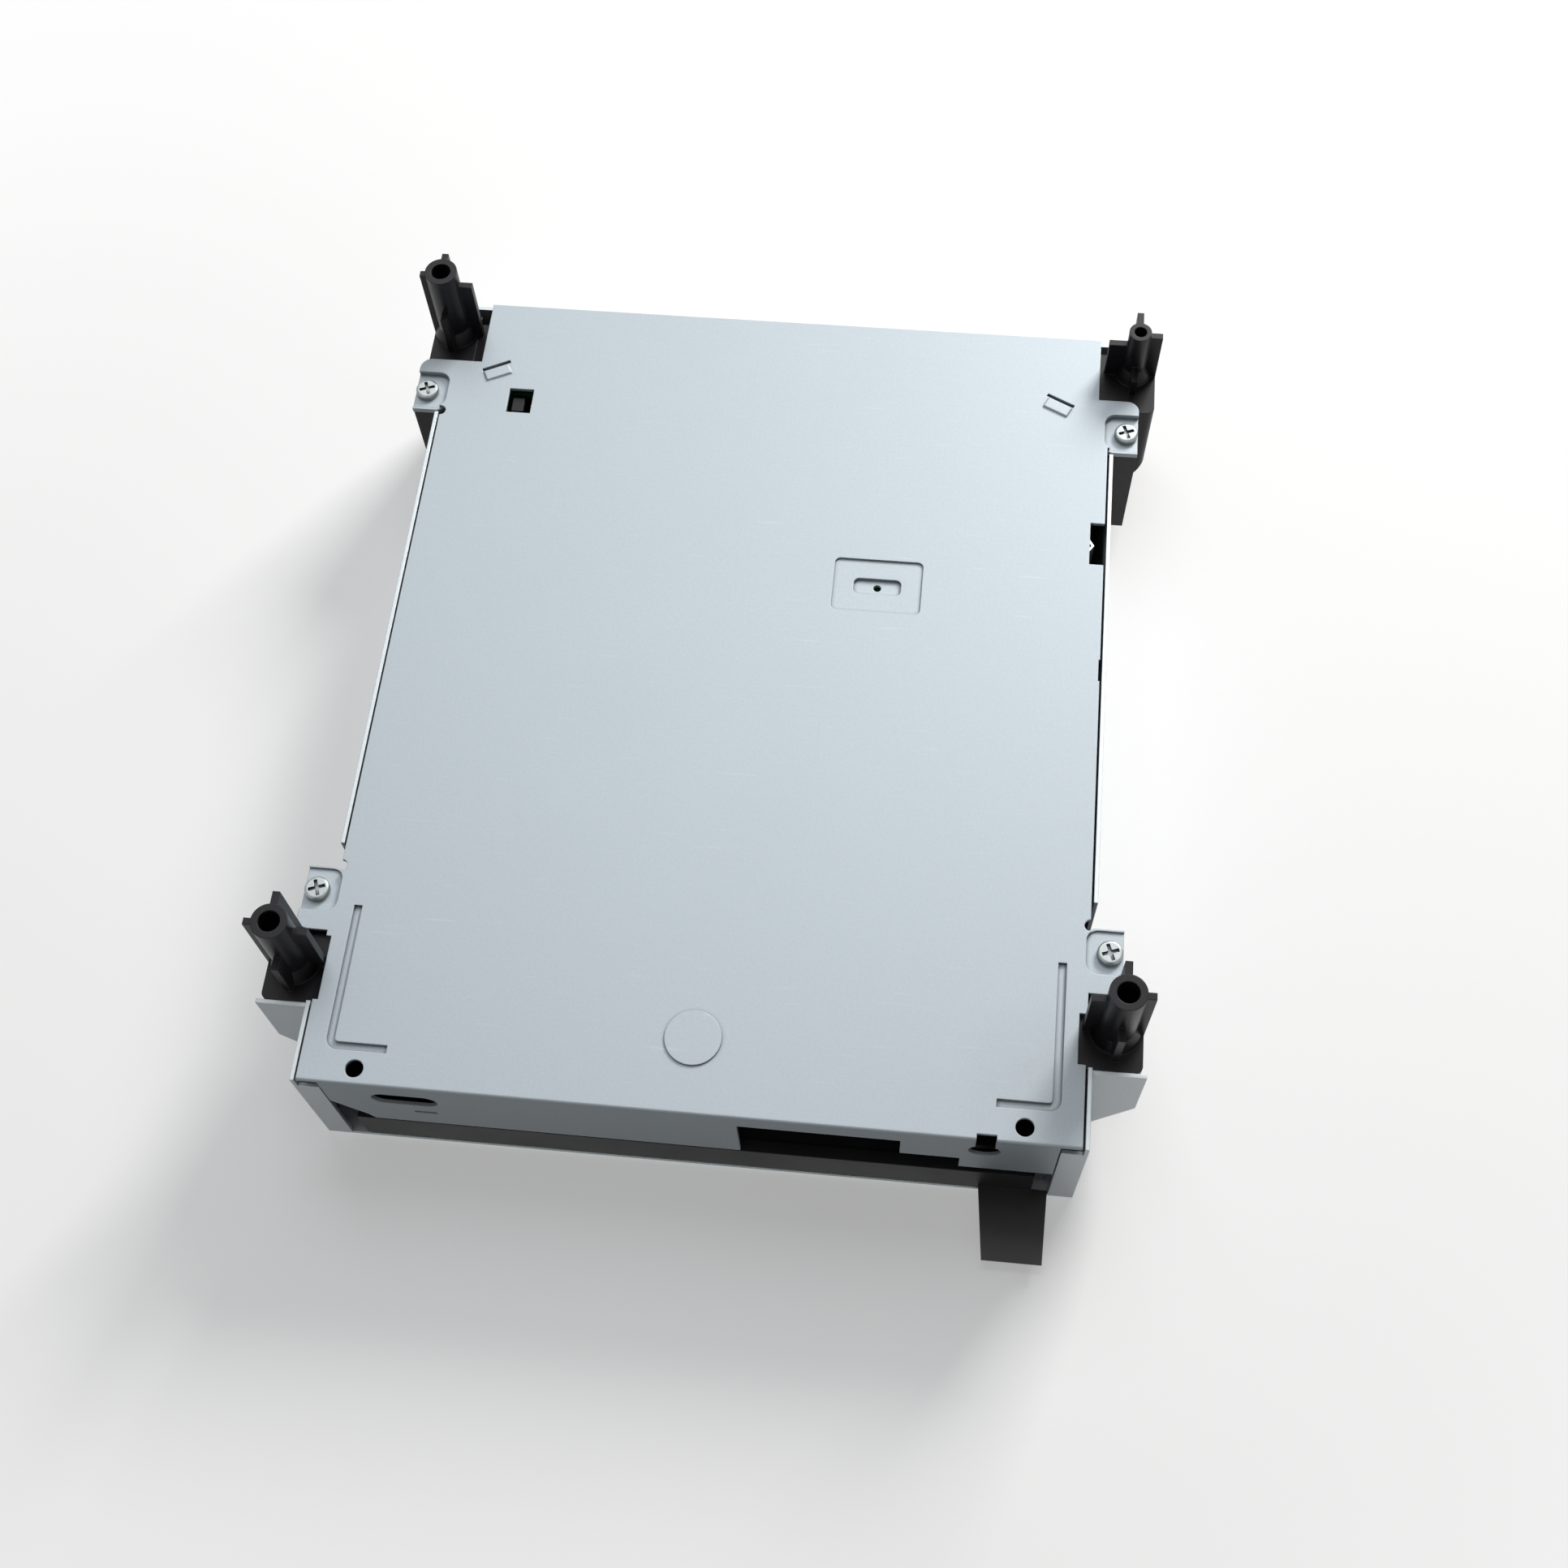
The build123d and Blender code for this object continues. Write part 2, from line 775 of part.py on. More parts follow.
# Bottom cover: the visible plate with screwed tabs, a front flange and pressed marks
with BuildPart() as bottom_cover:
    with BuildSketch(Plane.XY.offset(plate_low)):
        Rectangle(width, depth)
        for side, y in tab_spots:
            with Locations((side * (half_w + tab_reach / 2 - tab_root), y)):
                RectangleRounded(tab_reach + 2 * tab_root, tab_width, tab_r)
        # notches beside the tabs
        for x, y in (
            (-half_w, tab_front_y + notch_out),
            (half_w, tab_front_y + notch_out),
            (-half_w, tab_rear_y - notch_out),
        ):
            with Locations((x, y)):
                Circle(notch_r, mode=Mode.SUBTRACT)
        # corners cut away round the rear legs
        for x, cut in ((-half_w, corner_cut_left), (half_w, corner_cut_right)):
            with Locations((x, half_d)):
                Rectangle(2 * cut, 2 * (half_d - tab_rear_y - tab_width / 2), mode=Mode.SUBTRACT)
        # edges set back beside the front legs
        with Locations((-half_w, setback_left_y)):
            Rectangle(2 * setback_left, setback_left_d, mode=Mode.SUBTRACT)
        with Locations((half_w, setback_right_y)):
            Rectangle(2 * setback_right, setback_right_d, mode=Mode.SUBTRACT)
        with Locations((-round_hole_x, round_hole_y), (round_hole_x, round_hole_y)):
            Circle(round_hole_r, mode=Mode.SUBTRACT)
        with Locations((window_x, window_y)):
            Rectangle(window_w, window_d, mode=Mode.SUBTRACT)
        with Locations((half_w - side_slot_w / 2, side_slot_y)):
            Rectangle(side_slot_w, side_slot_d, mode=Mode.SUBTRACT)
        with Locations((hook_x, front_y)):
            Rectangle(hook_w, 2 * hook_plate_d, mode=Mode.SUBTRACT)
        with Locations((half_w, edge_notch_y)):
            Rectangle(2 * edge_notch, edge_notch_d, mode=Mode.SUBTRACT)
    extrude(amount=sheet)
    for side in (-1, 1):
        press(groove_outline(side, groove_w), groove_outline(side, groove_w + sheet), height, -1, press_depth)
    for side, y in screw_rows:
        press(pad_outline(side, y, 0, over), pad_outline(side, y, sheet / 2, 0), height, -1, pad_depth)
    with BuildSketch(Plane.XY):
        with Locations(*screw_spots):
            Circle(screw_shank_r + screw_play)
    extrude(amount=height, mode=Mode.SUBTRACT)
    press(
        block_outline(label_x, label_y, label_w, label_d, label_r),
        block_outline(label_x, label_y, label_w + sheet, label_d + sheet, label_back_r),
        height,
        -1,
        label_depth,
    )
    press(
        block_outline(label_x, label_y, label_inner_w, label_inner_d, label_r),
        block_outline(label_x, label_y, label_inner_w + sheet, label_inner_d + sheet, label_back_r),
        height - label_depth,
        -1,
        press_depth,
    )
    with BuildSketch(Plane.XY):
        with Locations((label_x, label_y)):
            Circle(pin_hole_r)
    extrude(amount=height, mode=Mode.SUBTRACT)
    # round boss standing out near the front edge
    press(
        disc_outline(0, boss_y, boss_r),
        disc_outline(0, boss_y, boss_r + sheet / 2),
        plate_low,
        1,
        press_depth / 2,
    )
    # lanced tongues near the rear corners
    for side in (-1, 1):
        with BuildSketch(Plane.XY.offset(plate_low)):
            with Locations(Location((side * lance_x, lance_y), -side * lance_turn)):
                Rectangle(lance_w, sheet)
        extrude(amount=sheet, mode=Mode.SUBTRACT)
        with BuildSketch(Plane.XY.offset(plate_low + sheet / 2)):
            with Locations(Location((side * (lance_x - lance_in), lance_y - lance_back), -side * lance_turn)):
                Rectangle(lance_w, lance_d)
        extrude(amount=sheet, taper=lance_taper)
    # front flange with its notch, teardrop slot and hook opening
    with BuildSketch(Plane.XZ.offset(half_d - sheet)):
        with BuildLine():
            Polyline(
                (-half_w + corner_tab + clear, plate_low + sheet),
                (-half_w + corner_tab + clear, flange_low + wing_rise),
                (flange_left, flange_low + wing_foot),
                (flange_left + wing_cut, flange_low),
                (flange_right, flange_low),
                (flange_right, flange_notch_top),
                (flange_notch_right, flange_notch_top),
                (flange_notch_right, flange_mid_low),
                (flange_mid_right, flange_mid_low),
                (flange_mid_right, flange_end_low),
                (half_w - corner_tab - clear, flange_end_low),
                (half_w - corner_tab - clear, plate_low + sheet),
                close=True,
            )
        make_face()
        with Locations((flange_slot_x, flange_slot_z)):
            SlotOverall(flange_slot_w, flange_slot_h, mode=Mode.SUBTRACT)
        with Locations((flange_slot_x + small_slot_x, flange_slot_z - small_slot_drop)):
            SlotOverall(small_slot_l, small_slot_h, mode=Mode.SUBTRACT)
        with Locations((hook_x, hook_z)):
            Circle(hook_r, mode=Mode.SUBTRACT)
        with Locations((hook_x, hook_middle)):
            Rectangle(hook_w, hook_open, mode=Mode.SUBTRACT)
    extrude(amount=sheet)
    across = bottom_cover.edges().filter_by(Axis.X)
    folded = across.filter_by_position(Axis.Y, front_y - near, front_y + near)
    fillet(folded.filter_by_position(Axis.Z, height - near, height + near), fold_r)
bottom_cover.part.label = "bottom_cover"
export_step(bottom_cover.part, "parts/bottom_cover.step")

# Main chassis: moulded frame with side rails, decks, tray guides, gear posts and lift bearings
with BuildPart() as main_chassis:
    for side in (-1, 1):
        case_box(side * rail_inner, side * rail_outer, rail_front, rail_rear, sheet + clear, rail_top)
        case_box(side * rail_inner, side * opening_half, rail_front, rail_rear, deck_low, deck_top)
        # long rib under the tray's rim, and hooks over its edge
        case_box(
            side * guide_inner,
            side * (guide_inner + guide_rib_t),
            rail_front,
            tray_rear,
            tray_high + clear,
            deck_low,
        )
        for y in (tray_hook_y, spindle_y + disc_r):
            case_box(
                side * (tray_half - hook_overlap),
                side * rail_inner,
                y - hook_length / 2,
                y + hook_length / 2,
                tray_low - clear - guide_hook_t,
                tray_low - clear,
            )
        # stiffening ribs on the outer face of the rail
        for rib in range(rail_rib_count):
            y = rail_rib_first + rib * rail_rib_pitch
            case_box(
                side * rail_outer,
                side * (rail_outer + rail_rib_out),
                y - rail_rib_half,
                y + rail_rib_half,
                sheet + clear,
                rail_top,
            )
        # board posts
        for y in (board_post_front, board_post_rear):
            with BuildSketch(Plane.XY.offset(deck_top)):
                with Locations((side * (board_half - board_post_in), y)):
                    Circle(board_post_r)
            extrude(amount=board_low - deck_top)
        # lift bearings
        with Locations(Location((side * (opening_half - bearing_inset), hinge_y, hinge_z), (0, 90, 0))):
            Cylinder(bearing_r, bearing_length)
            Cylinder(hinge_r + run, bearing_length + 2 * over, mode=Mode.SUBTRACT)
    case_box(-rail_inner, rail_inner, rail_front, deck_front_rear, deck_low, deck_top)
    case_box(-rail_inner, rail_inner, rear_deck_front, rail_rear, deck_low, deck_top)
    case_box(-rail_inner, data_x - data_w, rail_rear - rear_wall_t, rail_rear, deck_low, board_low - clear)
    # posts of the gears
    with BuildSketch(Plane.XY.offset(rack_low)):
        with Locations((gear_x, gear_y), (pulley_x, gear_y)):
            Circle(post_r)
    extrude(amount=deck_low - rack_low)
    # opening for the motor's pulley, with lightening slots beside it
    with BuildSketch(Plane.XY.offset(deck_low)):
        with Locations((motor_x, motor_y)):
            Circle(motor_pulley_r + pulley_opening)
        with Locations((motor_x - deck_slot_out, motor_y), (gear_x + deck_slot_out, gear_y - deck_slot_y)):
            SlotOverall(deck_slot_l, deck_slot_w)
    extrude(amount=deck_t, mode=Mode.SUBTRACT)
    # guide wall for the cam slider
    case_box(
        -opening_half,
        opening_half,
        deck_front_rear - guide_hook_t,
        deck_front_rear,
        cam_low + cam_wall_low,
        cam_high,
    )
    # hook seen through the cover's window
    case_box(
        window_x - window_hook_out,
        window_x + window_hook_in,
        window_y - window_hook_front,
        window_y + window_hook_rear,
        deck_top,
        plate_low - window_hook_gap,
    )
    # room for the sockets
    case_box(
        data_x - data_w / 2 - clear,
        power_x + power_w / 2 + clear,
        rear_y - socket_depth - clear,
        rear_y,
        board_low - power_h - clear,
        height,
        Mode.SUBTRACT,
    )
    # seat of the clamp bridge
    for side in (-1, 1):
        case_box(
            side * (rail_inner - seat_inside),
            side * (rail_outer + seat_outside),
            bridge_front - clear,
            bridge_back + clear,
            0,
            bridge_low + bridge_t,
            Mode.SUBTRACT,
        )
main_chassis.part.label = "main_chassis"
export_step(main_chassis.part, "parts/main_chassis.step")

# Mounting legs: four moulded brackets outside the rails, each with a screw boss,
# a hollow block and a ribbed tube with a blind bore
legs = {
    "leg_front_left": (-1, leg_front_x, leg_front_y, leg_r, leg_bore_r, leg_height, ear_front_x - sheet),
    "leg_front_right": (1, leg_front_x, leg_front_y, leg_r, leg_bore_r, leg_height, ear_front_x - sheet),
    "leg_rear_left": (-1, -leg_rear_x, leg_rear_y, leg_r, leg_bore_r, leg_height, rear_outer_x),
    "leg_rear_right": (1, small_leg_x, small_leg_y, small_leg_r, small_bore_r, small_leg_height, ear_rear_x),
}
for name, (side, across, y, r, bore, tall, outer) in legs.items():
    front = y < 0
    block_y0 = ear_front_low if front else ear_rear_low
    block_y1 = ear_front_high if front else rear_block_end
    boss_y0 = ear_front_high if front else screw_rear_y - pad_r
    boss_y1 = screw_front_y + pad_r if front else ear_rear_low
    x = side * across
    top = height + tall
    with BuildPart() as leg:
        # block with its lower outer corner sloping in under the ear
        with BuildSketch(Plane.XZ.offset(-block_y0)):
            Polygon(
                (side * rail_outer, block_low),
                (side * (outer - block_slope), block_low),
                (side * outer, block_low + 2 * block_slope),
                (side * outer, ear_top),
                (side * rail_outer, ear_top),
                align=None,
            )
        extrude(amount=-(block_y1 - block_y0))
        fillet(leg.edges().filter_by(Axis.Z).group_by(Axis.X)[-1 if side > 0 else 0], corner_r)
        # hollow from below, with a wall all round
        with BuildSketch(Plane.XY.offset(block_low)):
            with Locations((side * (rail_outer + outer - block_slope) / 2, (block_y0 + block_y1) / 2)):
                Rectangle(outer - block_slope - rail_outer - 2 * leg_wall, block_y1 - block_y0 - 2 * leg_wall)
        extrude(amount=ear_top - block_low - 2 * leg_wall, mode=Mode.SUBTRACT)
        case_box(side * rail_outer, side * tab_outer, boss_y0, boss_y1, block_low, pad_low)
        # tube on a flared foot
        with BuildSketch(Plane.XY.offset(ear_top)):
            with Locations((x, y)):
                Circle(r)
        extrude(amount=top - ear_top)
        with Locations((x, y, ear_top + foot_h / 2)):
            Cone(r + foot_flare, r, foot_h)
        # ribs: one inwards and one to each of front and rear, as tall as the tube or nearly
        back_reach = min(rib_reach, half_d - sheet - clear - y)
        rib_plan = (
            (-side, 0, rib_reach, inner_rib_short),
            (side, 0, outer - across, outer_rib_short),
            (0, 1, back_reach, rear_rib_short),
            (0, -1, rib_reach, front_rib_short),
        )
        for dx, dy, reach, short in rib_plan:
            with BuildSketch(Plane.XY.offset(ear_top)):
                with Locations((x + dx * reach / 2, y + dy * reach / 2)):
                    Rectangle(abs(dx) * reach or rib_t, abs(dy) * reach or rib_t)
            extrude(amount=top - ear_top - short)
        with BuildSketch(Plane.XY.offset(top)):
            with Locations((x, y)):
                Circle(bore)
        extrude(amount=bore_floor - tall, mode=Mode.SUBTRACT)
        # hole for the cover screw
        with BuildSketch(Plane.XY.offset(pad_low)):
            with Locations((side * (half_w + screw_out), screw_front_y if front else screw_rear_y)):
                Circle(screw_shank_r + 2 * run)
        extrude(amount=-screw_length, mode=Mode.SUBTRACT)
    leg.part.label = name
    export_step(leg.part, f"parts/{name}.step")

# Cover screws: pan heads with a cross recess, one in each sunk pad
with BuildPart() as cover_screws:
    with BuildSketch(Plane.XY.offset(height - pad_depth)):
        with Locations(*screw_spots):
            Circle(screw_head_r)
    extrude(amount=screw_head_h)
    fillet(cover_screws.edges().group_by(Axis.Z)[-1], screw_head_h / 2.5)
    with BuildSketch(Plane.XY.offset(height - pad_depth)):
        with Locations(*screw_spots):
            Circle(screw_shank_r)
    extrude(amount=-screw_length)
    for turn in (cross_turn, cross_turn + 90):
        with BuildSketch(Plane.XY.offset(height - pad_depth + screw_head_h)):
            with Locations(*[Location((x, y, 0), turn) for x, y in screw_spots]):
                Rectangle(cross_length, cross_width)
        extrude(amount=-cross_depth, mode=Mode.SUBTRACT)
cover_screws.part.label = "cover_screws"
export_step(cover_screws.part, "parts/cover_screws.step")

# Disc tray: two-level disc recess opening towards the top cover, open rear slot, rack
with BuildPart() as disc_tray:
    with BuildSketch(Plane.XY.offset(tray_low)):
        with Locations((0, (tray_front + tray_rear) / 2)):
            RectangleRounded(2 * tray_half, tray_rear - tray_front, tray_r)
    extrude(amount=recess_depth + tray_floor)
    with BuildSketch(Plane.XY.offset(tray_low)):
        with Locations((0, spindle_y)):
            Circle(disc_recess_r)
    extrude(amount=recess_depth, mode=Mode.SUBTRACT)
    with BuildSketch(Plane.XY.offset(tray_low + recess_depth)):
        with Locations((0, spindle_y)):
            Circle(small_disc_r)
    extrude(amount=small_step, mode=Mode.SUBTRACT)
    # slot for the turntable and lens, open to the rear
    with BuildSketch(Plane.XY.offset(tray_low - over)):
        with Locations((0, spindle_y)):
            Circle(slot_half)
        with Locations((0, (spindle_y + tray_rear + slot_over) / 2)):
            Rectangle(2 * slot_half, tray_rear + slot_over - spindle_y)
    extrude(amount=tray_high, mode=Mode.SUBTRACT)
    # finger scoops at the front and sides of the recess
    with BuildSketch(Plane.XY.offset(tray_low)):
        with Locations((0, spindle_y - disc_recess_r)):
            Circle(scoop_front_r)
        with Locations((-disc_recess_r, spindle_y + scoop_side_y), (disc_recess_r, spindle_y + scoop_side_y)):
            Circle(scoop_side_r)
    extrude(amount=recess_depth - scoop_floor, mode=Mode.SUBTRACT)
    for side in (-1, 1):
        # running rims along both edges
        case_box(
            side * (tray_half - rim_w),
            side * tray_half,
            tray_front + rim_end,
            tray_rear - rim_end,
            tray_floor_top,
            tray_high,
        )
    # front face that closes the opening
    case_box(-face_half, face_half, front_y + face_gap, tray_front + face_overlap, face_low, tray_high)
    # toothed rack under the right side
    case_box(
        rack_x + rack_back,
        rack_x + rack_back + rack_width,
        tray_front + rack_front_gap,
        tray_rear - rack_rear_gap,
        tray_floor_top,
        rack_high,
    )
    with BuildSketch(Plane.XY.offset(rack_low)):
        for tooth in range(rack_teeth):
            middle = gear_y + (tooth - rack_shift) * pi * tooth_module
            with Locations((rack_x, middle)):
                Polygon(
                    (tooth_root, -tooth_root_half),
                    (tooth_tip, -tooth_tip_half),
                    (tooth_tip, tooth_tip_half),
                    (tooth_root, tooth_root_half),
                    align=None,
                )
    extrude(amount=rack_high - rack_low)
disc_tray.part.label = "disc_tray"
export_step(disc_tray.part, "parts/disc_tray.step")

# Clamp bridge: sheet strip across the chassis walls with a round opening
with BuildPart() as clamp_bridge:
    with BuildSketch(Plane.XY.offset(bridge_low)):
        with Locations((0, spindle_y)):
            RectangleRounded(2 * bridge_half, bridge_depth - 2 * bridge_gap, bridge_r)
            Circle(bridge_hole_r, mode=Mode.SUBTRACT)
            with GridLocations(bridge_slot_pitch, 1, 2, 1):
                SlotOverall(bridge_slot_l, bridge_slot_w, mode=Mode.SUBTRACT)
    extrude(amount=bridge_t)
clamp_bridge.part.label = "clamp_bridge"
export_step(clamp_bridge.part, "parts/clamp_bridge.step")

# Clamper: free-running puck whose flange rests on the bridge
with BuildPart() as clamper:
    with BuildSketch(Plane.XZ.offset(-spindle_y)):
        Polygon(
            (0, clamp_low),
            (clamp_flange_r, clamp_low),
            (clamp_flange_r, clamp_low + clamp_flange_t),
            (clamp_neck_r, clamp_low + clamp_flange_t),
            (clamp_neck_r, clamp_high),
            (clamp_pocket_r, clamp_high),
            (clamp_pocket_r - clamp_pocket_step, clamp_high - clamp_pocket_lip),
            (clamp_pocket_r - clamp_pocket_step, magnet_low),
            (0, magnet_low),
            align=None,
        )
    revolve(axis=Axis((0, spindle_y, 0), (0, 0, 1)))
clamper.part.label = "clamper"
export_step(clamper.part, "parts/clamper.step")

# Clamp magnet: ring disc set in the clamper's pocket
with BuildPart() as clamp_magnet:
    with BuildSketch(Plane.XY.offset(magnet_low)):
        with Locations((0, spindle_y)):
            Circle(magnet_r)
            Circle(magnet_hole_r, mode=Mode.SUBTRACT)
    extrude(amount=magnet_t)
clamp_magnet.part.label = "clamp_magnet"
export_step(clamp_magnet.part, "parts/clamp_magnet.step")

# Turntable: disc table with centring cone, on the spindle shaft
with BuildPart() as turntable:
    with BuildSketch(Plane.XZ.offset(-spindle_y)):
        Polygon(
            (0, table_low - hub_height),
            (hub_tip_r, table_low - hub_height),
            (hub_r, table_low - hub_rim),
            (hub_r, table_low),
            (table_r, table_low),
            (table_r, table_low + table_t),
            (table_neck_r, table_low + table_t),
            (table_neck_r, rotor_low),
            (0, rotor_low),
            align=None,
        )
    revolve(axis=Axis((0, spindle_y, 0), (0, 0, 1)))
    with BuildSketch(Plane.XY.offset(table_low - hub_height)):
        with Locations((0, spindle_y)):
            with PolarLocations(hub_tip_r - hub_rim, hub_claws):
                Rectangle(claw_l, claw_w)
    extrude(amount=claw_h, mode=Mode.SUBTRACT)
turntable.part.label = "turntable"
export_step(turntable.part, "parts/turntable.step")

# Spindle rotor: drawn cup and shaft under the turntable
with BuildPart() as spindle_rotor:
    with BuildSketch(Plane.XZ.offset(-spindle_y)):
        Polygon(
            (0, rotor_low),
            (rotor_r - rotor_edge, rotor_low),
            (rotor_r, rotor_low + rotor_edge),
            (rotor_r, rotor_high),
            (rotor_r - rotor_wall, rotor_high),
            (rotor_r - rotor_wall, rotor_low + rotor_wall + rotor_floor),
            (shaft_r, rotor_low + rotor_wall + rotor_floor),
            (shaft_r, traverse_low - shaft_gap),
            (0, traverse_low - shaft_gap),
            align=None,
        )
    revolve(axis=Axis((0, spindle_y, 0), (0, 0, 1)))
spindle_rotor.part.label = "spindle_rotor"
export_step(spindle_rotor.part, "parts/spindle_rotor.step")

# Spindle stator: slotted core round a bearing sleeve on a motor plate
with BuildPart() as spindle_motor:
    with BuildSketch(Plane.XY.offset(traverse_low - motor_plate_t)):
        with Locations((0, spindle_y)):
            Circle(rotor_r + motor_plate_rim)
        with Locations((0, spindle_y - motor_plate_y)):
            Rectangle(motor_plate_w, motor_plate_d)
    extrude(amount=motor_plate_t)
    with BuildSketch(Plane.XY.offset(sleeve_low)):
        with Locations((0, spindle_y)):
            Circle(sleeve_r)
    extrude(amount=traverse_low - sleeve_low - over)
    with BuildSketch(Plane.XY.offset(stator_low)):
        with Locations((0, spindle_y)):
            Circle(stator_r + stator_ring)
            Circle(stator_r, mode=Mode.SUBTRACT)
            with PolarLocations(stator_r + stator_ring / 2, stator_slots, start_angle=stator_gap_turn):
                Rectangle(stator_gap_w, stator_gap_h, mode=Mode.SUBTRACT)
            Circle(stator_core_r)
            with PolarLocations(stator_arm_middle, stator_slots):
                Rectangle(stator_arm_l, stator_arm_w)
    extrude(amount=stator_h)
    with BuildSketch(Plane.XY.offset(rotor_high - motor_plate_t)):
        with Locations((0, spindle_y)):
            Circle(stator_core_r)
    extrude(amount=traverse_low - rotor_high)
    with BuildSketch(Plane.XY.offset(rotor_low)):
        with Locations((0, spindle_y)):
            Circle(shaft_r + run)
    extrude(amount=traverse_low - rotor_low - sleeve_gap, mode=Mode.SUBTRACT)
spindle_motor.part.label = "spindle_motor"
export_step(spindle_motor.part, "parts/spindle_motor.step")

# Lift frame: moulded ring hinged at the rear, with two cam pins in front
with BuildPart() as lift_frame:
    with BuildSketch(Plane.XY.offset(lift_low)):
        with Locations((0, (lift_front + lift_rear) / 2)):
            RectangleRounded(2 * lift_half, lift_rear - lift_front, lift_r)
        with Locations((0, (lift_window_front + lift_window_rear) / 2)):
            RectangleRounded(
                2 * lift_window_half,
                lift_window_rear - lift_window_front,
                lift_window_r,
                mode=Mode.SUBTRACT,
            )
    extrude(amount=lift_high - lift_low)
    with BuildSketch(Plane.XY.offset(lift_high - shelf_t)):
        for x, y in damper_spots:
            with Locations((x * shelf_spread, y)):
                RectangleRounded(shelf_w, shelf_d, shelf_r)
    extrude(amount=shelf_t)
    with BuildSketch(Plane.XY.offset(lift_high - shelf_t)):
        with Locations(*damper_spots):
            Circle(shelf_hole_r)
    extrude(amount=shelf_t, mode=Mode.SUBTRACT)
    for side in (-1, 1):
        # hinge pin at the rear
        with BuildSketch(Plane.YZ.offset(side * lift_half)):
            with Locations((hinge_y, hinge_z)):
                Circle(hinge_r)
        extrude(amount=side * (opening_half - lift_half - pin_gap))
        # upright with a cam pin
        case_box(
            side * cam_pin_x - upright_half,
            side * cam_pin_x + upright_half,
            lift_front,
            lift_front + upright_t,
            cam_pin_z - upright_drop,
            lift_low,
        )
        with BuildSketch(Plane.XZ.offset(-lift_front)):
            with Locations((side * cam_pin_x, cam_pin_z)):
                Circle(cam_pin_r)
        extrude(amount=lift_front - cam_y + cam_t / 2)
lift_frame.part.label = "lift_frame"
export_step(lift_frame.part, "parts/lift_frame.step")

# Cam slider: plate across the front of the lift with two slanted slots
with BuildPart() as cam_slider:
    with BuildSketch(Plane.XZ.offset(-cam_y - cam_t / 2)):
        with Locations((0, (cam_low + cam_high) / 2)):
            Rectangle(2 * cam_right, cam_high - cam_low)
        with Locations((-cam_left + cam_tail / 2, (cam_low + cam_high) / 2)):
            RectangleRounded(cam_tail, cam_high - cam_low, corner_r)
        for side in (-1, 1):
            raised = (side * cam_pin_x, cam_pin_z)
            lowered = (side * cam_pin_x - cam_travel, cam_pin_z + cam_drop)
            with BuildLine():
                Line(raised, lowered)
            trace(line_width=2 * cam_slot_r, mode=Mode.SUBTRACT)
            with Locations(raised, lowered):
                Circle(cam_slot_r, mode=Mode.SUBTRACT)
        with Locations((0, cam_high - cam_slot_drop)):
            SlotOverall(cam_slot_l, cam_slot_w, mode=Mode.SUBTRACT)
    extrude(amount=-cam_t)
cam_slider.part.label = "cam_slider"
export_step(cam_slider.part, "parts/cam_slider.step")

# Traverse plate: sheet carrier for the spindle motor and sled guides
with BuildPart() as traverse_plate:
    with BuildSketch(Plane.XY.offset(traverse_low)):
        with Locations((0, (traverse_front + traverse_rear) / 2)):
            RectangleRounded(2 * traverse_half, traverse_rear - traverse_front, traverse_r)
        with Locations((0, (carrier_window_front + carrier_window_rear) / 2)):
            Rectangle(2 * carrier_window_half, carrier_window_depth, mode=Mode.SUBTRACT)
        with Locations(*damper_spots):
            Circle(damper_neck_r + run, mode=Mode.SUBTRACT)
        for side in (-1, 1):
            with Locations((side * traverse_slot_x, traverse_front + traverse_slot_y)):
                SlotOverall(traverse_slot_l, traverse_slot_w, mode=Mode.SUBTRACT)
    extrude(amount=traverse_t)
traverse_plate.part.label = "traverse_plate"
export_step(traverse_plate.part, "parts/traverse_plate.step")

# Rubber dampers between the lift frame and the traverse plate
with BuildPart() as dampers:
    with BuildSketch(Plane.XY.offset(traverse_low - damper_t)):
        with Locations(*damper_spots):
            Circle(damper_r)
    extrude(amount=damper_t)
    with BuildSketch(Plane.XY.offset(traverse_low)):
        with Locations(*damper_spots):
            Circle(damper_neck_r)
    extrude(amount=traverse_t)
    with BuildSketch(Plane.XY.offset(traverse_low + traverse_t)):
        with Locations(*damper_spots):
            Circle(damper_r)
    extrude(amount=lift_high - shelf_t - traverse_low - traverse_t)
    with BuildSketch(Plane.XY.offset(traverse_low - damper_t)):
        with Locations(*damper_spots):
            Circle(damper_bore_r)
    extrude(amount=lift_high - traverse_low + damper_t, mode=Mode.SUBTRACT)
dampers.part.label = "dampers"
export_step(dampers.part, "parts/dampers.step")

# Damper screws
with BuildPart() as damper_screws:
    with BuildSketch(Plane.XY.offset(traverse_low - damper_t - damper_head_h)):
        with Locations(*damper_spots):
            Circle(damper_head_r)
    extrude(amount=damper_head_h)
    with BuildSketch(Plane.XY.offset(traverse_low - damper_t)):
        with Locations(*damper_spots):
            Circle(damper_shank_r)
    extrude(amount=lift_high - traverse_low + damper_shank_over)
damper_screws.part.label = "damper_screws"
export_step(damper_screws.part, "parts/damper_screws.step")

# Guide rods and their holders
with BuildPart() as guide_rods:
    with BuildSketch(Plane.XZ.offset(-rod_front)):
        with Locations((-rod_x, rod_z), (rod_x, rod_z)):
            Circle(rod_r)
    extrude(amount=-(rod_rear - rod_front))
guide_rods.part.label = "guide_rods"
export_step(guide_rods.part, "parts/guide_rods.step")

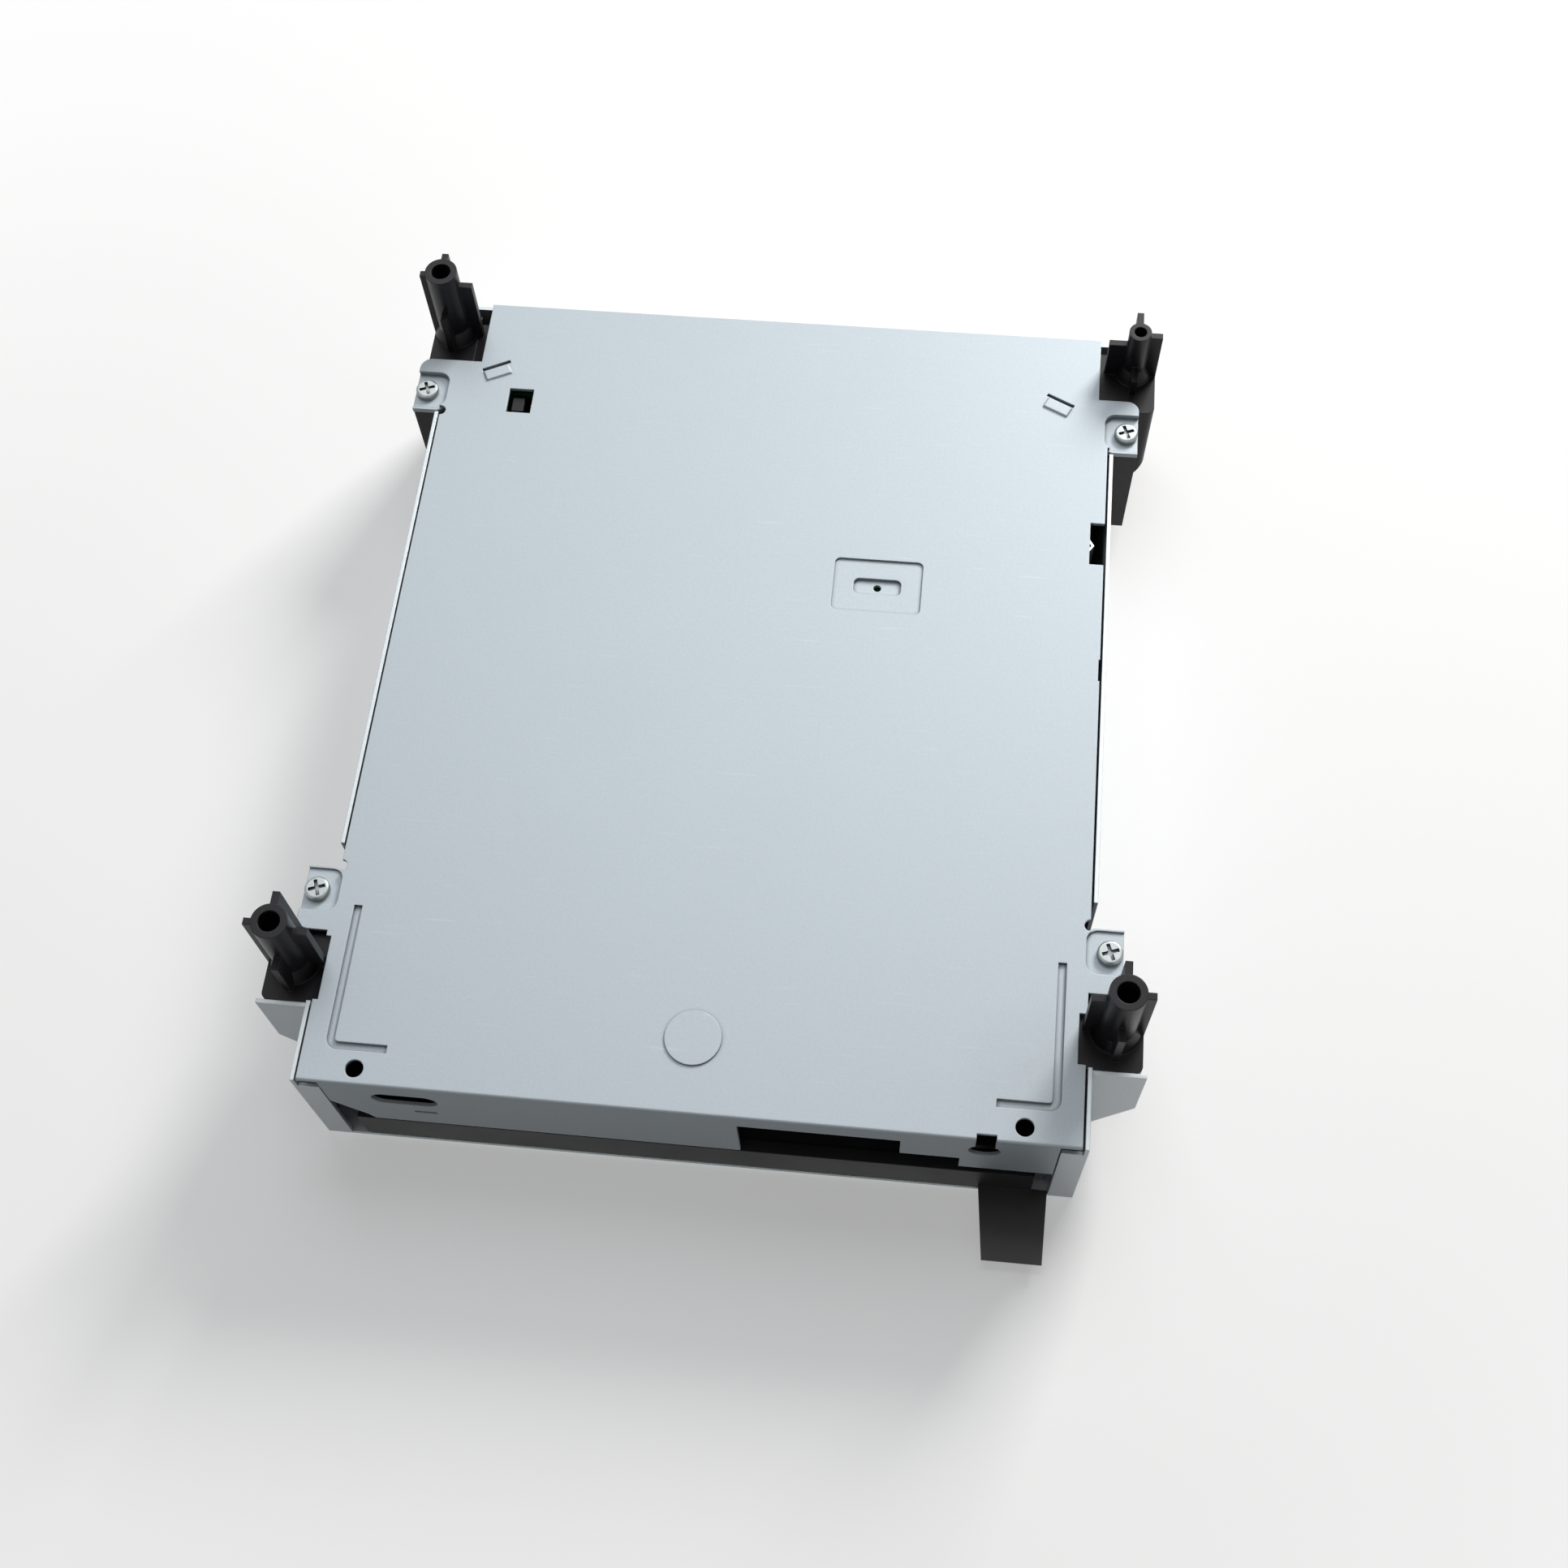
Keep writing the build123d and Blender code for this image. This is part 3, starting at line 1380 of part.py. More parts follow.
with BuildPart() as rod_holders:
    for side in (-1, 1):
        for y in (rod_front, rod_rear - holder_t):
            case_box(
                side * (rod_x - holder_half),
                side * (rod_x + holder_half),
                y,
                y + holder_t,
                rod_z - holder_drop,
                traverse_low,
            )
    with BuildSketch(Plane.XZ.offset(-rod_front + over)):
        with Locations((-rod_x, rod_z), (rod_x, rod_z)):
            Circle(rod_r)
    extrude(amount=-(rod_rear - rod_front) - 2 * over, mode=Mode.SUBTRACT)
rod_holders.part.label = "rod_holders"
export_step(rod_holders.part, "parts/rod_holders.step")

# Sled motor with the lead screw and its end bearing
with BuildPart() as sled_motor:
    with BuildSketch(Plane.XZ.offset(-lead_front)):
        with Locations((screw_x, rod_z)):
            Circle(sled_motor_r)
            Rectangle(2 * sled_motor_r, 2 * sled_motor_flat, mode=Mode.INTERSECT)
    extrude(amount=sled_motor_length)
    case_box(
        screw_x - sled_foot_half,
        screw_x + sled_foot_half,
        lead_front - sled_motor_length,
        lead_front - sled_foot_gap,
        rod_z + sled_foot_low,
        traverse_low,
    )
    case_box(
        screw_x - lead_bearing_half,
        screw_x + lead_bearing_half,
        lead_rear - lead_bearing_t,
        lead_rear,
        rod_z - lead_bearing_half,
        traverse_low,
    )
    with BuildSketch(Plane.XZ.offset(-lead_front + lead_bore_depth)):
        with Locations((screw_x, rod_z)):
            Circle(lead_r + run)
    extrude(amount=-(lead_rear - lead_front) - lead_bore_depth - over, mode=Mode.SUBTRACT)
sled_motor.part.label = "sled_motor"
export_step(sled_motor.part, "parts/sled_motor.step")

with BuildPart() as lead_screw:
    with BuildSketch(Plane.XZ.offset(-lead_front + lead_end)):
        with Locations((screw_x, rod_z)):
            Circle(lead_r)
    extrude(amount=-(lead_rear - lead_front) - lead_end + lead_tail)
lead_screw.part.label = "lead_screw"
export_step(lead_screw.part, "parts/lead_screw.step")

# Pickup: die-cast sled running on the rods, with the lens pocket
with BuildPart() as pickup_body:
    with BuildSketch(Plane.XY.offset(pickup_low)):
        with Locations((0, (pickup_y0 + pickup_y1) / 2)):
            Rectangle(2 * pickup_half, pickup_y1 - pickup_y0)
        with Locations((0, spindle_y)):
            Circle(rotor_room_r, mode=Mode.SUBTRACT)
        with Locations((0, pocket_middle)):
            RectangleRounded(pocket_w, pocket_w, pocket_r, mode=Mode.SUBTRACT)
    extrude(amount=pickup_high - pickup_low)
    with BuildSketch(Plane.XY.offset(pickup_high - pickup_lid_t)):
        with Locations((0, pocket_middle)):
            Rectangle(pickup_lid_w, pickup_lid_d)
    extrude(amount=pickup_lid_t)
    # left eye and right fork on the rods
    case_box(
        -rod_x - eye_out,
        -pickup_half + over,
        pickup_y0 + eye_end,
        pickup_y1 - eye_end,
        rod_z - eye_half,
        rod_z + eye_half,
    )
    case_box(
        pickup_half - over,
        rod_x + fork_out,
        pickup_y0 + fork_front,
        pickup_y1 - fork_rear,
        rod_z - eye_half,
        rod_z + eye_half,
    )
    with BuildSketch(Plane.XZ.offset(-pickup_y0 + over)):
        with Locations((-rod_x, rod_z)):
            Circle(rod_r + run)
        with Locations((rod_x + fork_x, rod_z)):
            Rectangle(fork_w, 2 * (rod_r + run))
    extrude(amount=pickup_y0 - pickup_y1 - 2 * over, mode=Mode.SUBTRACT)
pickup_body.part.label = "pickup_body"
export_step(pickup_body.part, "parts/pickup_body.step")

# Lead nut: arm from the pickup with a half-round seat along the lead screw
with BuildPart() as lead_nut:
    for x0, x1, gap in (
        (screw_x - over, -rod_x - eye_out, lead_r + clear),
        (screw_x - nut_half, screw_x + nut_half, nut_gap),
    ):
        case_box(x0, x1, pickup_y0 + nut_front, pickup_y0 + nut_rear, rod_z + gap, rod_z + eye_half)
    with BuildSketch(Plane.XZ.offset(-pickup_y0)):
        with Locations((screw_x, rod_z)):
            Circle(lead_r + run)
    extrude(amount=pickup_y0 - pickup_y1, mode=Mode.SUBTRACT)
lead_nut.part.label = "lead_nut"
export_step(lead_nut.part, "parts/lead_nut.step")

# Lens holder floating in the pickup's pocket, with its lens
with BuildPart() as lens_holder:
    with BuildSketch(Plane.XY.offset(pickup_low - holder_rise)):
        with Locations((0, pocket_middle)):
            RectangleRounded(holder_w, holder_w, pocket_r)
    extrude(amount=holder_h)
    # side wings that run along the pocket's walls
    with BuildSketch(Plane.XY.offset(pickup_low + wing_low)):
        with Locations((0, pocket_middle)):
            Rectangle(pocket_w - 2 * clear, wing_d)
    extrude(amount=wing_h)
    with BuildSketch(Plane.XY.offset(pickup_low - lens_rise)):
        with Locations((0, lens_y)):
            Circle(lens_r + lens_rim)
    extrude(amount=lens_seat_h)
    with BuildSketch(Plane.XY.offset(pickup_low - lens_rise)):
        with Locations((0, lens_y)):
            Circle(lens_r)
    extrude(amount=lens_rise + holder_h, mode=Mode.SUBTRACT)
lens_holder.part.label = "lens_holder"
export_step(lens_holder.part, "parts/lens_holder.step")

with BuildPart() as lens:
    with BuildSketch(Plane.XY.offset(pickup_low - lens_rise)):
        with Locations((0, lens_y)):
            Circle(lens_r - lens_fit)
    extrude(amount=lens_t)
    fillet(lens.edges().group_by(Axis.Z)[0], lens_edge_r)
lens.part.label = "lens"
export_step(lens.part, "parts/lens.step")

# Drive gear meshing with the rack and the pulley's pinion
with BuildPart() as drive_gear:
    with BuildSketch(Plane.XY.offset(rack_low)):
        with Locations(Location((gear_x, gear_y, 0), 180 / gear_teeth)):
            add(gear_outline(gear_teeth, post_r + run))
    extrude(amount=rack_high - rack_low)
    with BuildSketch(Plane.XY.offset(rack_high)):
        with Locations((gear_x, gear_y)):
            Circle(post_r + gear_collar)
            Circle(post_r + run, mode=Mode.SUBTRACT)
    extrude(amount=deck_low - clear - rack_high)
drive_gear.part.label = "drive_gear"
export_step(drive_gear.part, "parts/drive_gear.step")

# Belt pulley with its pinion
with BuildPart() as pulley_gear:
    with BuildSketch(Plane.XY.offset(rack_low)):
        with Locations((pulley_x, gear_y)):
            add(gear_outline(pinion_teeth, post_r + run))
    extrude(amount=pulley_low - rack_low)
    with BuildSketch(Plane.XZ.offset(-gear_y)):
        Polygon(
            (pulley_x + post_r + run, pulley_low),
            (pulley_x + big_pulley_r, pulley_low),
            (pulley_x + big_pulley_r, belt_low - pulley_rim),
            (pulley_x + big_pulley_r - belt_t, belt_low),
            (pulley_x + big_pulley_r - belt_t, belt_high),
            (pulley_x + big_pulley_r, belt_high + pulley_rim),
            (pulley_x + big_pulley_r, pulley_high),
            (pulley_x + post_r + run, pulley_high),
            align=None,
        )
    revolve(axis=Axis((pulley_x, gear_y, 0), (0, 0, 1)))
pulley_gear.part.label = "pulley_gear"
export_step(pulley_gear.part, "parts/pulley_gear.step")

# Loading motor under the deck, with its pulley
with BuildPart() as loading_motor:
    with BuildSketch(Plane.XY.offset(deck_top)):
        with Locations((motor_x, motor_y)):
            Circle(motor_r)
            Rectangle(2 * motor_r, 2 * motor_r - motor_flat, mode=Mode.INTERSECT)
    extrude(amount=plate_low - motor_gap - deck_top)
    with BuildSketch(Plane.XY.offset(deck_top)):
        with Locations((motor_x, motor_y)):
            Circle(motor_shaft_r + run)
    extrude(amount=motor_bore_depth, mode=Mode.SUBTRACT)
loading_motor.part.label = "loading_motor"
export_step(loading_motor.part, "parts/loading_motor.step")

with BuildPart() as motor_pulley:
    with BuildSketch(Plane.XZ.offset(-motor_y)):
        Polygon(
            (motor_x, pulley_low),
            (motor_x + motor_pulley_r, pulley_low),
            (motor_x + motor_pulley_r, belt_low - pulley_rim),
            (motor_x + motor_pulley_r - belt_t, belt_low),
            (motor_x + motor_pulley_r - belt_t, belt_high),
            (motor_x + motor_pulley_r, belt_high + pulley_rim),
            (motor_x + motor_pulley_r, pulley_high),
            (motor_x + motor_shaft_r, pulley_high),
            (motor_x + motor_shaft_r, deck_top + motor_shaft_length),
            (motor_x, deck_top + motor_shaft_length),
            align=None,
        )
    revolve(axis=Axis((motor_x, motor_y, 0), (0, 0, 1)))
motor_pulley.part.label = "motor_pulley"
export_step(motor_pulley.part, "parts/motor_pulley.step")

# Drive belt round both pulleys
with BuildPart() as drive_belt:
    extrude(Plane.XY.offset(belt_low + run) * belt_outline(belt_t), amount=belt_high - belt_low - 2 * run)
    extrude(Plane.XY.offset(belt_low) * belt_outline(0), amount=belt_high - belt_low, mode=Mode.SUBTRACT)
drive_belt.part.label = "drive_belt"
export_step(drive_belt.part, "parts/drive_belt.step")

# Main board, its chips and the rear sockets
with BuildPart() as main_board:
    with BuildSketch(Plane.XY.offset(board_low)):
        with Locations((0, (board_front + board_rear) / 2)):
            RectangleRounded(2 * board_half, board_rear - board_front, board_r)
        with Locations((window_x, window_y)):
            Rectangle(window_w + board_window_gap, window_d + board_window_gap, mode=Mode.SUBTRACT)
    extrude(amount=board_t)
main_board.part.label = "main_board"
export_step(main_board.part, "parts/main_board.step")

with BuildPart() as board_chips:
    with BuildSketch(Plane.XY.offset(board_low + board_t)):
        for x, behind, w, d in chips:
            with Locations((x, board_front + behind)):
                Rectangle(w, d)
    extrude(amount=chip_t)
board_chips.part.label = "board_chips"
export_step(board_chips.part, "parts/board_chips.step")

# Data socket: shell with an L-shaped contact tongue
with BuildPart() as data_socket:
    case_box(data_x - data_w / 2, data_x + data_w / 2, socket_front, half_d, board_low - data_h, board_low)
    with BuildSketch(Plane.XZ.offset(-half_d)):
        with Locations((data_x, board_low - data_h / 2)):
            RectangleRounded(data_w - 2 * socket_wall, data_h - 2 * socket_wall, data_corner_r)
            with Locations((0, contact_shift)):
                Rectangle(contact_w, contact_t, mode=Mode.SUBTRACT)
            with Locations((key_x, key_shift)):
                Rectangle(contact_t, key_h, mode=Mode.SUBTRACT)
    extrude(amount=socket_depth - socket_floor, mode=Mode.SUBTRACT)
data_socket.part.label = "data_socket"
export_step(data_socket.part, "parts/data_socket.step")

with BuildPart() as power_socket:
    case_box(
        power_x - power_w / 2,
        power_x + power_w / 2,
        socket_front,
        half_d,
        board_low - power_h,
        board_low,
    )
    case_box(
        power_x - power_w / 2 + socket_wall,
        power_x + power_w / 2 - socket_wall,
        socket_front + socket_floor,
        half_d + over,
        board_low - power_h + socket_wall,
        board_low - socket_wall,
        Mode.SUBTRACT,
    )
power_socket.part.label = "power_socket"
export_step(power_socket.part, "parts/power_socket.step")

with BuildPart() as power_pins:
    with BuildSketch(Plane.XZ.offset(-socket_front - socket_floor)):
        with Locations((power_x, board_low - power_h / 2)):
            with GridLocations(power_pitch, power_pitch, power_columns, power_rows):
                Rectangle(power_pin, power_pin)
    extrude(amount=-power_pin_length)
power_pins.part.label = "power_pins"
export_step(power_pins.part, "parts/power_pins.step")

# Flat cable socket on the board and the flat cable down to the rear deck
with BuildPart() as cable_socket:
    case_box(
        -cable_w / 2 - cable_socket_half,
        cable_w / 2 + cable_socket_half,
        cable_y - cable_socket_half,
        cable_y + cable_socket_half,
        board_low - cable_socket_h,
        board_low,
    )
cable_socket.part.label = "cable_socket"
export_step(cable_socket.part, "parts/cable_socket.step")

with BuildPart() as flat_cable:
    with BuildSketch(Plane.YZ.offset(-cable_w / 2)):
        with BuildLine():
            FilletPolyline(
                (cable_y, board_low - cable_socket_h),
                (cable_y, deck_top + cable_t / 2),
                (rear_deck_front + cable_end, deck_top + cable_t / 2),
                radius=corner_r,
            )
        trace(line_width=cable_t)
    extrude(amount=cable_w)
flat_cable.part.label = "flat_cable"
export_step(flat_cable.part, "parts/flat_cable.step")

# Tray end switch on the deck
with BuildPart() as tray_switch:
    with BuildSketch(Plane.XY.offset(deck_low)):
        with Locations((switch_x, switch_y)):
            Rectangle(switch_w, switch_d)
    extrude(amount=-switch_h)
    with BuildSketch(Plane.XY.offset(deck_low - switch_h)):
        with Locations((switch_x, switch_y)):
            Circle(switch_button_r)
    extrude(amount=-switch_button_h)
tray_switch.part.label = "tray_switch"
export_step(tray_switch.part, "parts/tray_switch.step")

# Earthing spring in the slot at the plate's right edge
with BuildPart() as edge_spring:
    with BuildSketch(Plane.XY.offset(plate_low - spring_drop)):
        with BuildLine():
            Polyline(
                (rail_outer + spring_gap, side_slot_y - spring_half),
                (rail_outer + spring_gap, side_slot_y - spring_flat),
                (rail_outer + spring_bow, side_slot_y),
                (rail_outer + spring_gap, side_slot_y + spring_flat),
                (rail_outer + spring_gap, side_slot_y + spring_half),
            )
        trace(line_width=spring_t)
    extrude(amount=spring_drop)
edge_spring.part.label = "edge_spring"
export_step(edge_spring.part, "parts/edge_spring.step")

# Thin film tongue at the lower right of the tray's front face
with BuildPart() as film_tongue:
    with BuildSketch(Plane.XY.offset(face_low + film_rise)):
        Polygon(
            (tongue_x - tongue_root / 2, front_y + film_overlap),
            (tongue_x + tongue_lean - tongue_tip / 2, front_y - tongue_reach),
            (tongue_x + tongue_lean + tongue_tip / 2, front_y - tongue_reach),
            (tongue_x + tongue_root / 2, front_y + film_overlap),
            align=None,
        )
    extrude(amount=film_t)
film_tongue.part.label = "film_tongue"
export_step(film_tongue.part, "parts/film_tongue.step")
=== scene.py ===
import json
import math

import bpy
import numpy as np
from mathutils import Matrix, Vector


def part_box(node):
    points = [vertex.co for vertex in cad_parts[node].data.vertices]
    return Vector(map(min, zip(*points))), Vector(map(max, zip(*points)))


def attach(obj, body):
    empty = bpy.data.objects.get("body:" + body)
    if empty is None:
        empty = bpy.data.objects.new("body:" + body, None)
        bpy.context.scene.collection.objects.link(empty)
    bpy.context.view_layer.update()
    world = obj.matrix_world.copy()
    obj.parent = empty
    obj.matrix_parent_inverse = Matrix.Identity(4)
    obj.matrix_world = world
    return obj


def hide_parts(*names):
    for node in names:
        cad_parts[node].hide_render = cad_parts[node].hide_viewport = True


# A console disc drive lying on its top cover, underside up, in metres.
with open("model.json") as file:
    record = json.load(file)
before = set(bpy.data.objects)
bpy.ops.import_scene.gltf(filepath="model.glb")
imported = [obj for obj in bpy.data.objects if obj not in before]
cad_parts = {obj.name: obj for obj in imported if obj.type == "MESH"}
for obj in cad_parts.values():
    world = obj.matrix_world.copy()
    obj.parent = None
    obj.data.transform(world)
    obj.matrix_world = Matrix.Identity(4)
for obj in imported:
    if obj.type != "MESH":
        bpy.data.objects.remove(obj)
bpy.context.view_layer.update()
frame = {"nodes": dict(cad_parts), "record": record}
scene = bpy.context.scene
nodes = frame["nodes"]
mm = 0.001
plainWhite = (1.0, 1.0, 1.0, 1.0)
scene.view_settings.view_transform = "Standard"


def setInputs(node, inputs):
    # Sets the unlinked inputs of a shader node, each by its name or its place
    for socket, value in inputs.items():
        node.inputs[socket].default_value = value


def newNode(tree, kind, inputs=None, **settings):
    # Adds a shader node with its own settings and its unlinked inputs
    node = tree.nodes.new(kind)
    for setting, value in settings.items():
        setattr(node, setting, value)
    setInputs(node, inputs or {})
    return node


def mixShaders(tree, factor, first, second):
    # The first shader where the factor is 0, the second where it is 1
    mix = newNode(tree, "ShaderNodeMixShader")
    tree.links.new(factor, mix.inputs["Fac"])
    tree.links.new(first, mix.inputs[1])
    tree.links.new(second, mix.inputs[2])
    return mix.outputs["Shader"]


def mapped(tree, value, fromSpan, toSpan, **settings):
    # Carries a value from one span over to another and holds it at the ends
    stretch = newNode(tree, "ShaderNodeMapRange", {
        "From Min": fromSpan[0], "From Max": fromSpan[1],
        "To Min": toSpan[0], "To Max": toSpan[1]}, **settings)
    tree.links.new(value, stretch.inputs["Value"])
    return stretch.outputs["Result"]


# Camera: the point it looks at, its angles in degrees, its distance, and its lens in millimetres
view = {
    "target": (11.65 * mm, -23.08 * mm, 33.0 * mm),
    "azimuth": 9.18,
    "elevation": 63.44,
    "roll": 3.85,
    "distance": 398.46 * mm,
    "lens": 46.11,
    "sensorWidth": 36,
    "clipStart": 0.01,
}


def placeCamera():
    azimuth = math.radians(view["azimuth"])
    elevation = math.radians(view["elevation"])
    roll = math.radians(view["roll"])
    back = Vector((math.sin(azimuth) * math.cos(elevation),
                   -math.cos(azimuth) * math.cos(elevation),
                   math.sin(elevation)))
    right = (-back).cross(Vector((0, 0, 1))).normalized()
    down = (-back).cross(right)
    imageRight = right * math.cos(roll) + down * math.sin(roll)
    imageUp = right * math.sin(roll) - down * math.cos(roll)
    cameraData = bpy.data.cameras.new("camera")
    cameraData.lens = view["lens"]
    cameraData.sensor_width = view["sensorWidth"]
    cameraData.clip_start = view["clipStart"]
    camera = bpy.data.objects.new("camera", cameraData)
    scene.collection.objects.link(camera)
    place = Vector(view["target"]) + back * view["distance"]
    turn = Matrix((imageRight, imageUp, back)).transposed().to_4x4()
    camera.matrix_world = Matrix.Translation(place) @ turn
    scene.camera = camera


def seenDirectly(tree):
    # 1 for the rays that show a background: camera, mirror and see-through rays
    ray = newNode(tree, "ShaderNodeLightPath")
    joined = ray.outputs["Is Camera Ray"]
    for kind in ("Is Glossy Ray", "Is Transmission Ray"):
        either = newNode(tree, "ShaderNodeMath", operation="MAXIMUM")
        tree.links.new(joined, either.inputs[0])
        tree.links.new(ray.outputs[kind], either.inputs[1])
        joined = either.outputs["Value"]
    return joined


# World: the dim light that it gives, behind a white that is only seen
sky = {"colour": (0.94, 0.97, 1.0, 1.0), "strength": 0.09}


def makeWorld():
    world = bpy.data.worlds.new("studio")
    scene.world = world
    world.use_nodes = True
    tree = world.node_tree
    tree.nodes.clear()
    output = newNode(tree, "ShaderNodeOutputWorld")
    light = newNode(tree, "ShaderNodeBackground",
                    {"Color": sky["colour"], "Strength": sky["strength"]})
    white = newNode(tree, "ShaderNodeBackground", {"Color": plainWhite, "Strength": 1.0})
    tree.links.new(mixShaders(tree, seenDirectly(tree), light.outputs["Background"],
                              white.outputs["Background"]), output.inputs["Surface"])


# Lamps: large soft squares in metres, all aimed at the drive's middle
lampAim = (0, 0, 0.03)
lamps = {
    "key": {"place": (0.55, 1.05, 0.75), "energy": 21.0, "size": 0.45,
            "colour": (1.0, 0.985, 0.96)},
    "top": {"place": (-0.1, 0.62, 1.15), "energy": 5.0, "size": 0.8,
            "colour": (0.95, 0.98, 1.0)},
    "fill": {"place": (-0.7, -0.9, 0.6), "energy": 0.25, "size": 0.7,
             "colour": (0.95, 0.98, 1.0)},
}


def placeLamp(name, lamp):
    lightData = bpy.data.lights.new(name, "AREA")
    lightData.energy = lamp["energy"]
    lightData.size = lamp["size"]
    lightData.color = lamp["colour"]
    light = bpy.data.objects.new(name, lightData)
    light.location = lamp["place"]
    towards = Vector(lampAim) - Vector(lamp["place"])
    light.rotation_euler = towards.to_track_quat("-Z", "Y").to_euler()
    scene.collection.objects.link(light)


# Floor: white with a soft shadow where it is seen, dark grey for the light that bounces off it
ground = {
    "reach": 6.0,
    "bounceColour": (0.11, 0.11, 0.115, 1.0),
    "bounceRough": 0.9,
    "seenColour": (0.98, 0.98, 0.98, 1.0),
    "shade": 0.64,           # how much of the floor's look is real light and shadow
    "shadeNear": 0.16,       # full shadow within this distance of the object's middle
    "shadeFar": 0.36,        # plain white beyond this one
}


def floorMaterial():
    material = bpy.data.materials.new("floor")
    material.use_nodes = True
    tree = material.node_tree
    bounce = tree.nodes["Principled BSDF"]
    setInputs(bounce, {"Base Color": ground["bounceColour"], "Roughness": ground["bounceRough"],
                       "Specular IOR Level": 0.0})
    shade = newNode(tree, "ShaderNodeBsdfDiffuse", {"Color": ground["seenColour"]})
    glow = newNode(tree, "ShaderNodeEmission", {"Strength": 1.0})
    place = newNode(tree, "ShaderNodeTexCoord")
    away = newNode(tree, "ShaderNodeVectorMath", operation="LENGTH")
    tree.links.new(place.outputs["Object"], away.inputs[0])
    fade = mapped(tree, away.outputs["Value"], (ground["shadeNear"], ground["shadeFar"]),
                  (ground["shade"], 0.0), interpolation_type="SMOOTHSTEP")
    seen = mixShaders(tree, fade, glow.outputs["Emission"], shade.outputs["BSDF"])
    floor = mixShaders(tree, seenDirectly(tree), bounce.outputs["BSDF"], seen)
    tree.links.new(floor, tree.nodes["Material Output"].inputs["Surface"])
    return material


def makeFloor():
    # A flat square about the origin
    reach = ground["reach"]
    corners = [(-reach, -reach, 0), (reach, -reach, 0), (reach, reach, 0), (-reach, reach, 0)]
    mesh = bpy.data.meshes.new("floor")
    mesh.from_pydata(corners, [], [(0, 1, 2, 3)])
    floor = bpy.data.objects.new("floor", mesh)
    scene.collection.objects.link(floor)
    mesh.materials.append(floorMaterial())


print("stage: set")
makeWorld()
placeCamera()
makeFloor()
for name, lamp in lamps.items():
    placeLamp(name, lamp)

# Finishes. grain is the size of the fine grain in mm and bump its strength, mottle is how far
# the colour wanders, edge is the rounding in mm and wear how strong the painted highlight on
# rounded edges is. Two are optional: soil, how dark the painted shade in corners and recesses
# gets, and shine, how strong the gloss is.
finishes = {
    "cover_steel": {
        "colour": (0.435, 0.49, 0.53), "rough": 0.48, "metal": 0.22, "grain": 0.55, "bump": 0.10,
        "mottle": 0.05, "edge": 0.25, "edgeHighlight": 0.16, "paintedShade": 0.75},
    "top_steel": {
        "colour": (0.50, 0.54, 0.56), "rough": 0.42, "metal": 0.55, "grain": 0.55, "bump": 0.10,
        "mottle": 0.06, "edge": 0.25, "edgeHighlight": 0.18, "paintedShade": 0.5},
    "black_plastic": {
        "colour": (0.009, 0.008, 0.010), "rough": 0.36, "metal": 0.0, "grain": 0.35, "bump": 0.14,
        "mottle": 0.12, "edge": 0.30, "edgeHighlight": 0.015, "shine": 0.22},
    "tray_plastic": {
        "colour": (0.009, 0.009, 0.010), "rough": 0.45, "metal": 0.0, "grain": 0.30, "bump": 0.22,
        "mottle": 0.10, "edge": 0.25, "edgeHighlight": 0.015, "shine": 0.20},
    "screw_zinc": {
        "colour": (0.30, 0.32, 0.32), "rough": 0.34, "metal": 0.9, "grain": 0.8, "bump": 0.05,
        "mottle": 0.12, "edge": 0.12, "edgeHighlight": 0.04, "paintedShade": 1.0},
    "steel": {
        "colour": (0.50, 0.50, 0.49), "rough": 0.32, "metal": 0.9, "grain": 0.6, "bump": 0.06,
        "mottle": 0.08, "edge": 0.15, "edgeHighlight": 0.10},
    "white_acetal": {
        "colour": (0.74, 0.73, 0.68), "rough": 0.42, "metal": 0.0, "grain": 0.5, "bump": 0.04,
        "mottle": 0.03, "edge": 0.15, "edgeHighlight": 0.0},
    "clear_lens": {
        "colour": (0.80, 0.86, 0.95), "rough": 0.05, "metal": 0.0, "grain": 1.0, "bump": 0.0,
        "mottle": 0.0, "edge": 0.05, "edgeHighlight": 0.0},
    "rubber": {
        "colour": (0.012, 0.012, 0.012), "rough": 0.62, "metal": 0.0, "grain": 0.4, "bump": 0.10,
        "mottle": 0.10, "edge": 0.15, "edgeHighlight": 0.0},
    "board": {
        "colour": (0.010, 0.105, 0.045), "rough": 0.34, "metal": 0.0, "grain": 0.9, "bump": 0.08,
        "mottle": 0.20, "edge": 0.10, "edgeHighlight": 0.0},
    "chip": {
        "colour": (0.014, 0.014, 0.016), "rough": 0.52, "metal": 0.0, "grain": 0.2, "bump": 0.10,
        "mottle": 0.10, "edge": 0.12, "edgeHighlight": 0.0},
    "brass": {
        "colour": (0.72, 0.50, 0.20), "rough": 0.28, "metal": 1.0, "grain": 0.8, "bump": 0.04,
        "mottle": 0.06, "edge": 0.10, "edgeHighlight": 0.0},
    "magnet": {
        "colour": (0.30, 0.30, 0.31), "rough": 0.30, "metal": 0.9, "grain": 0.8, "bump": 0.04,
        "mottle": 0.06, "edge": 0.12, "edgeHighlight": 0.0},
    "diecast": {
        "colour": (0.42, 0.43, 0.44), "rough": 0.48, "metal": 0.8, "grain": 0.4, "bump": 0.16,
        "mottle": 0.10, "edge": 0.20, "edgeHighlight": 0.05},
    "white_plastic": {
        "colour": (0.76, 0.75, 0.70), "rough": 0.42, "metal": 0.0, "grain": 0.5, "bump": 0.05,
        "mottle": 0.04, "edge": 0.15, "edgeHighlight": 0.0},
    "film": {
        "colour": (0.024, 0.023, 0.022), "rough": 0.34, "metal": 0.0, "grain": 3.0, "bump": 0.12,
        "mottle": 0.15, "edge": 0.05, "edgeHighlight": 0.0, "shine": 0.35},
    "cable": {
        "colour": (0.62, 0.62, 0.60), "rough": 0.40, "metal": 0.0, "grain": 1.0, "bump": 0.04,
        "mottle": 0.04, "edge": 0.05, "edgeHighlight": 0.0},
}
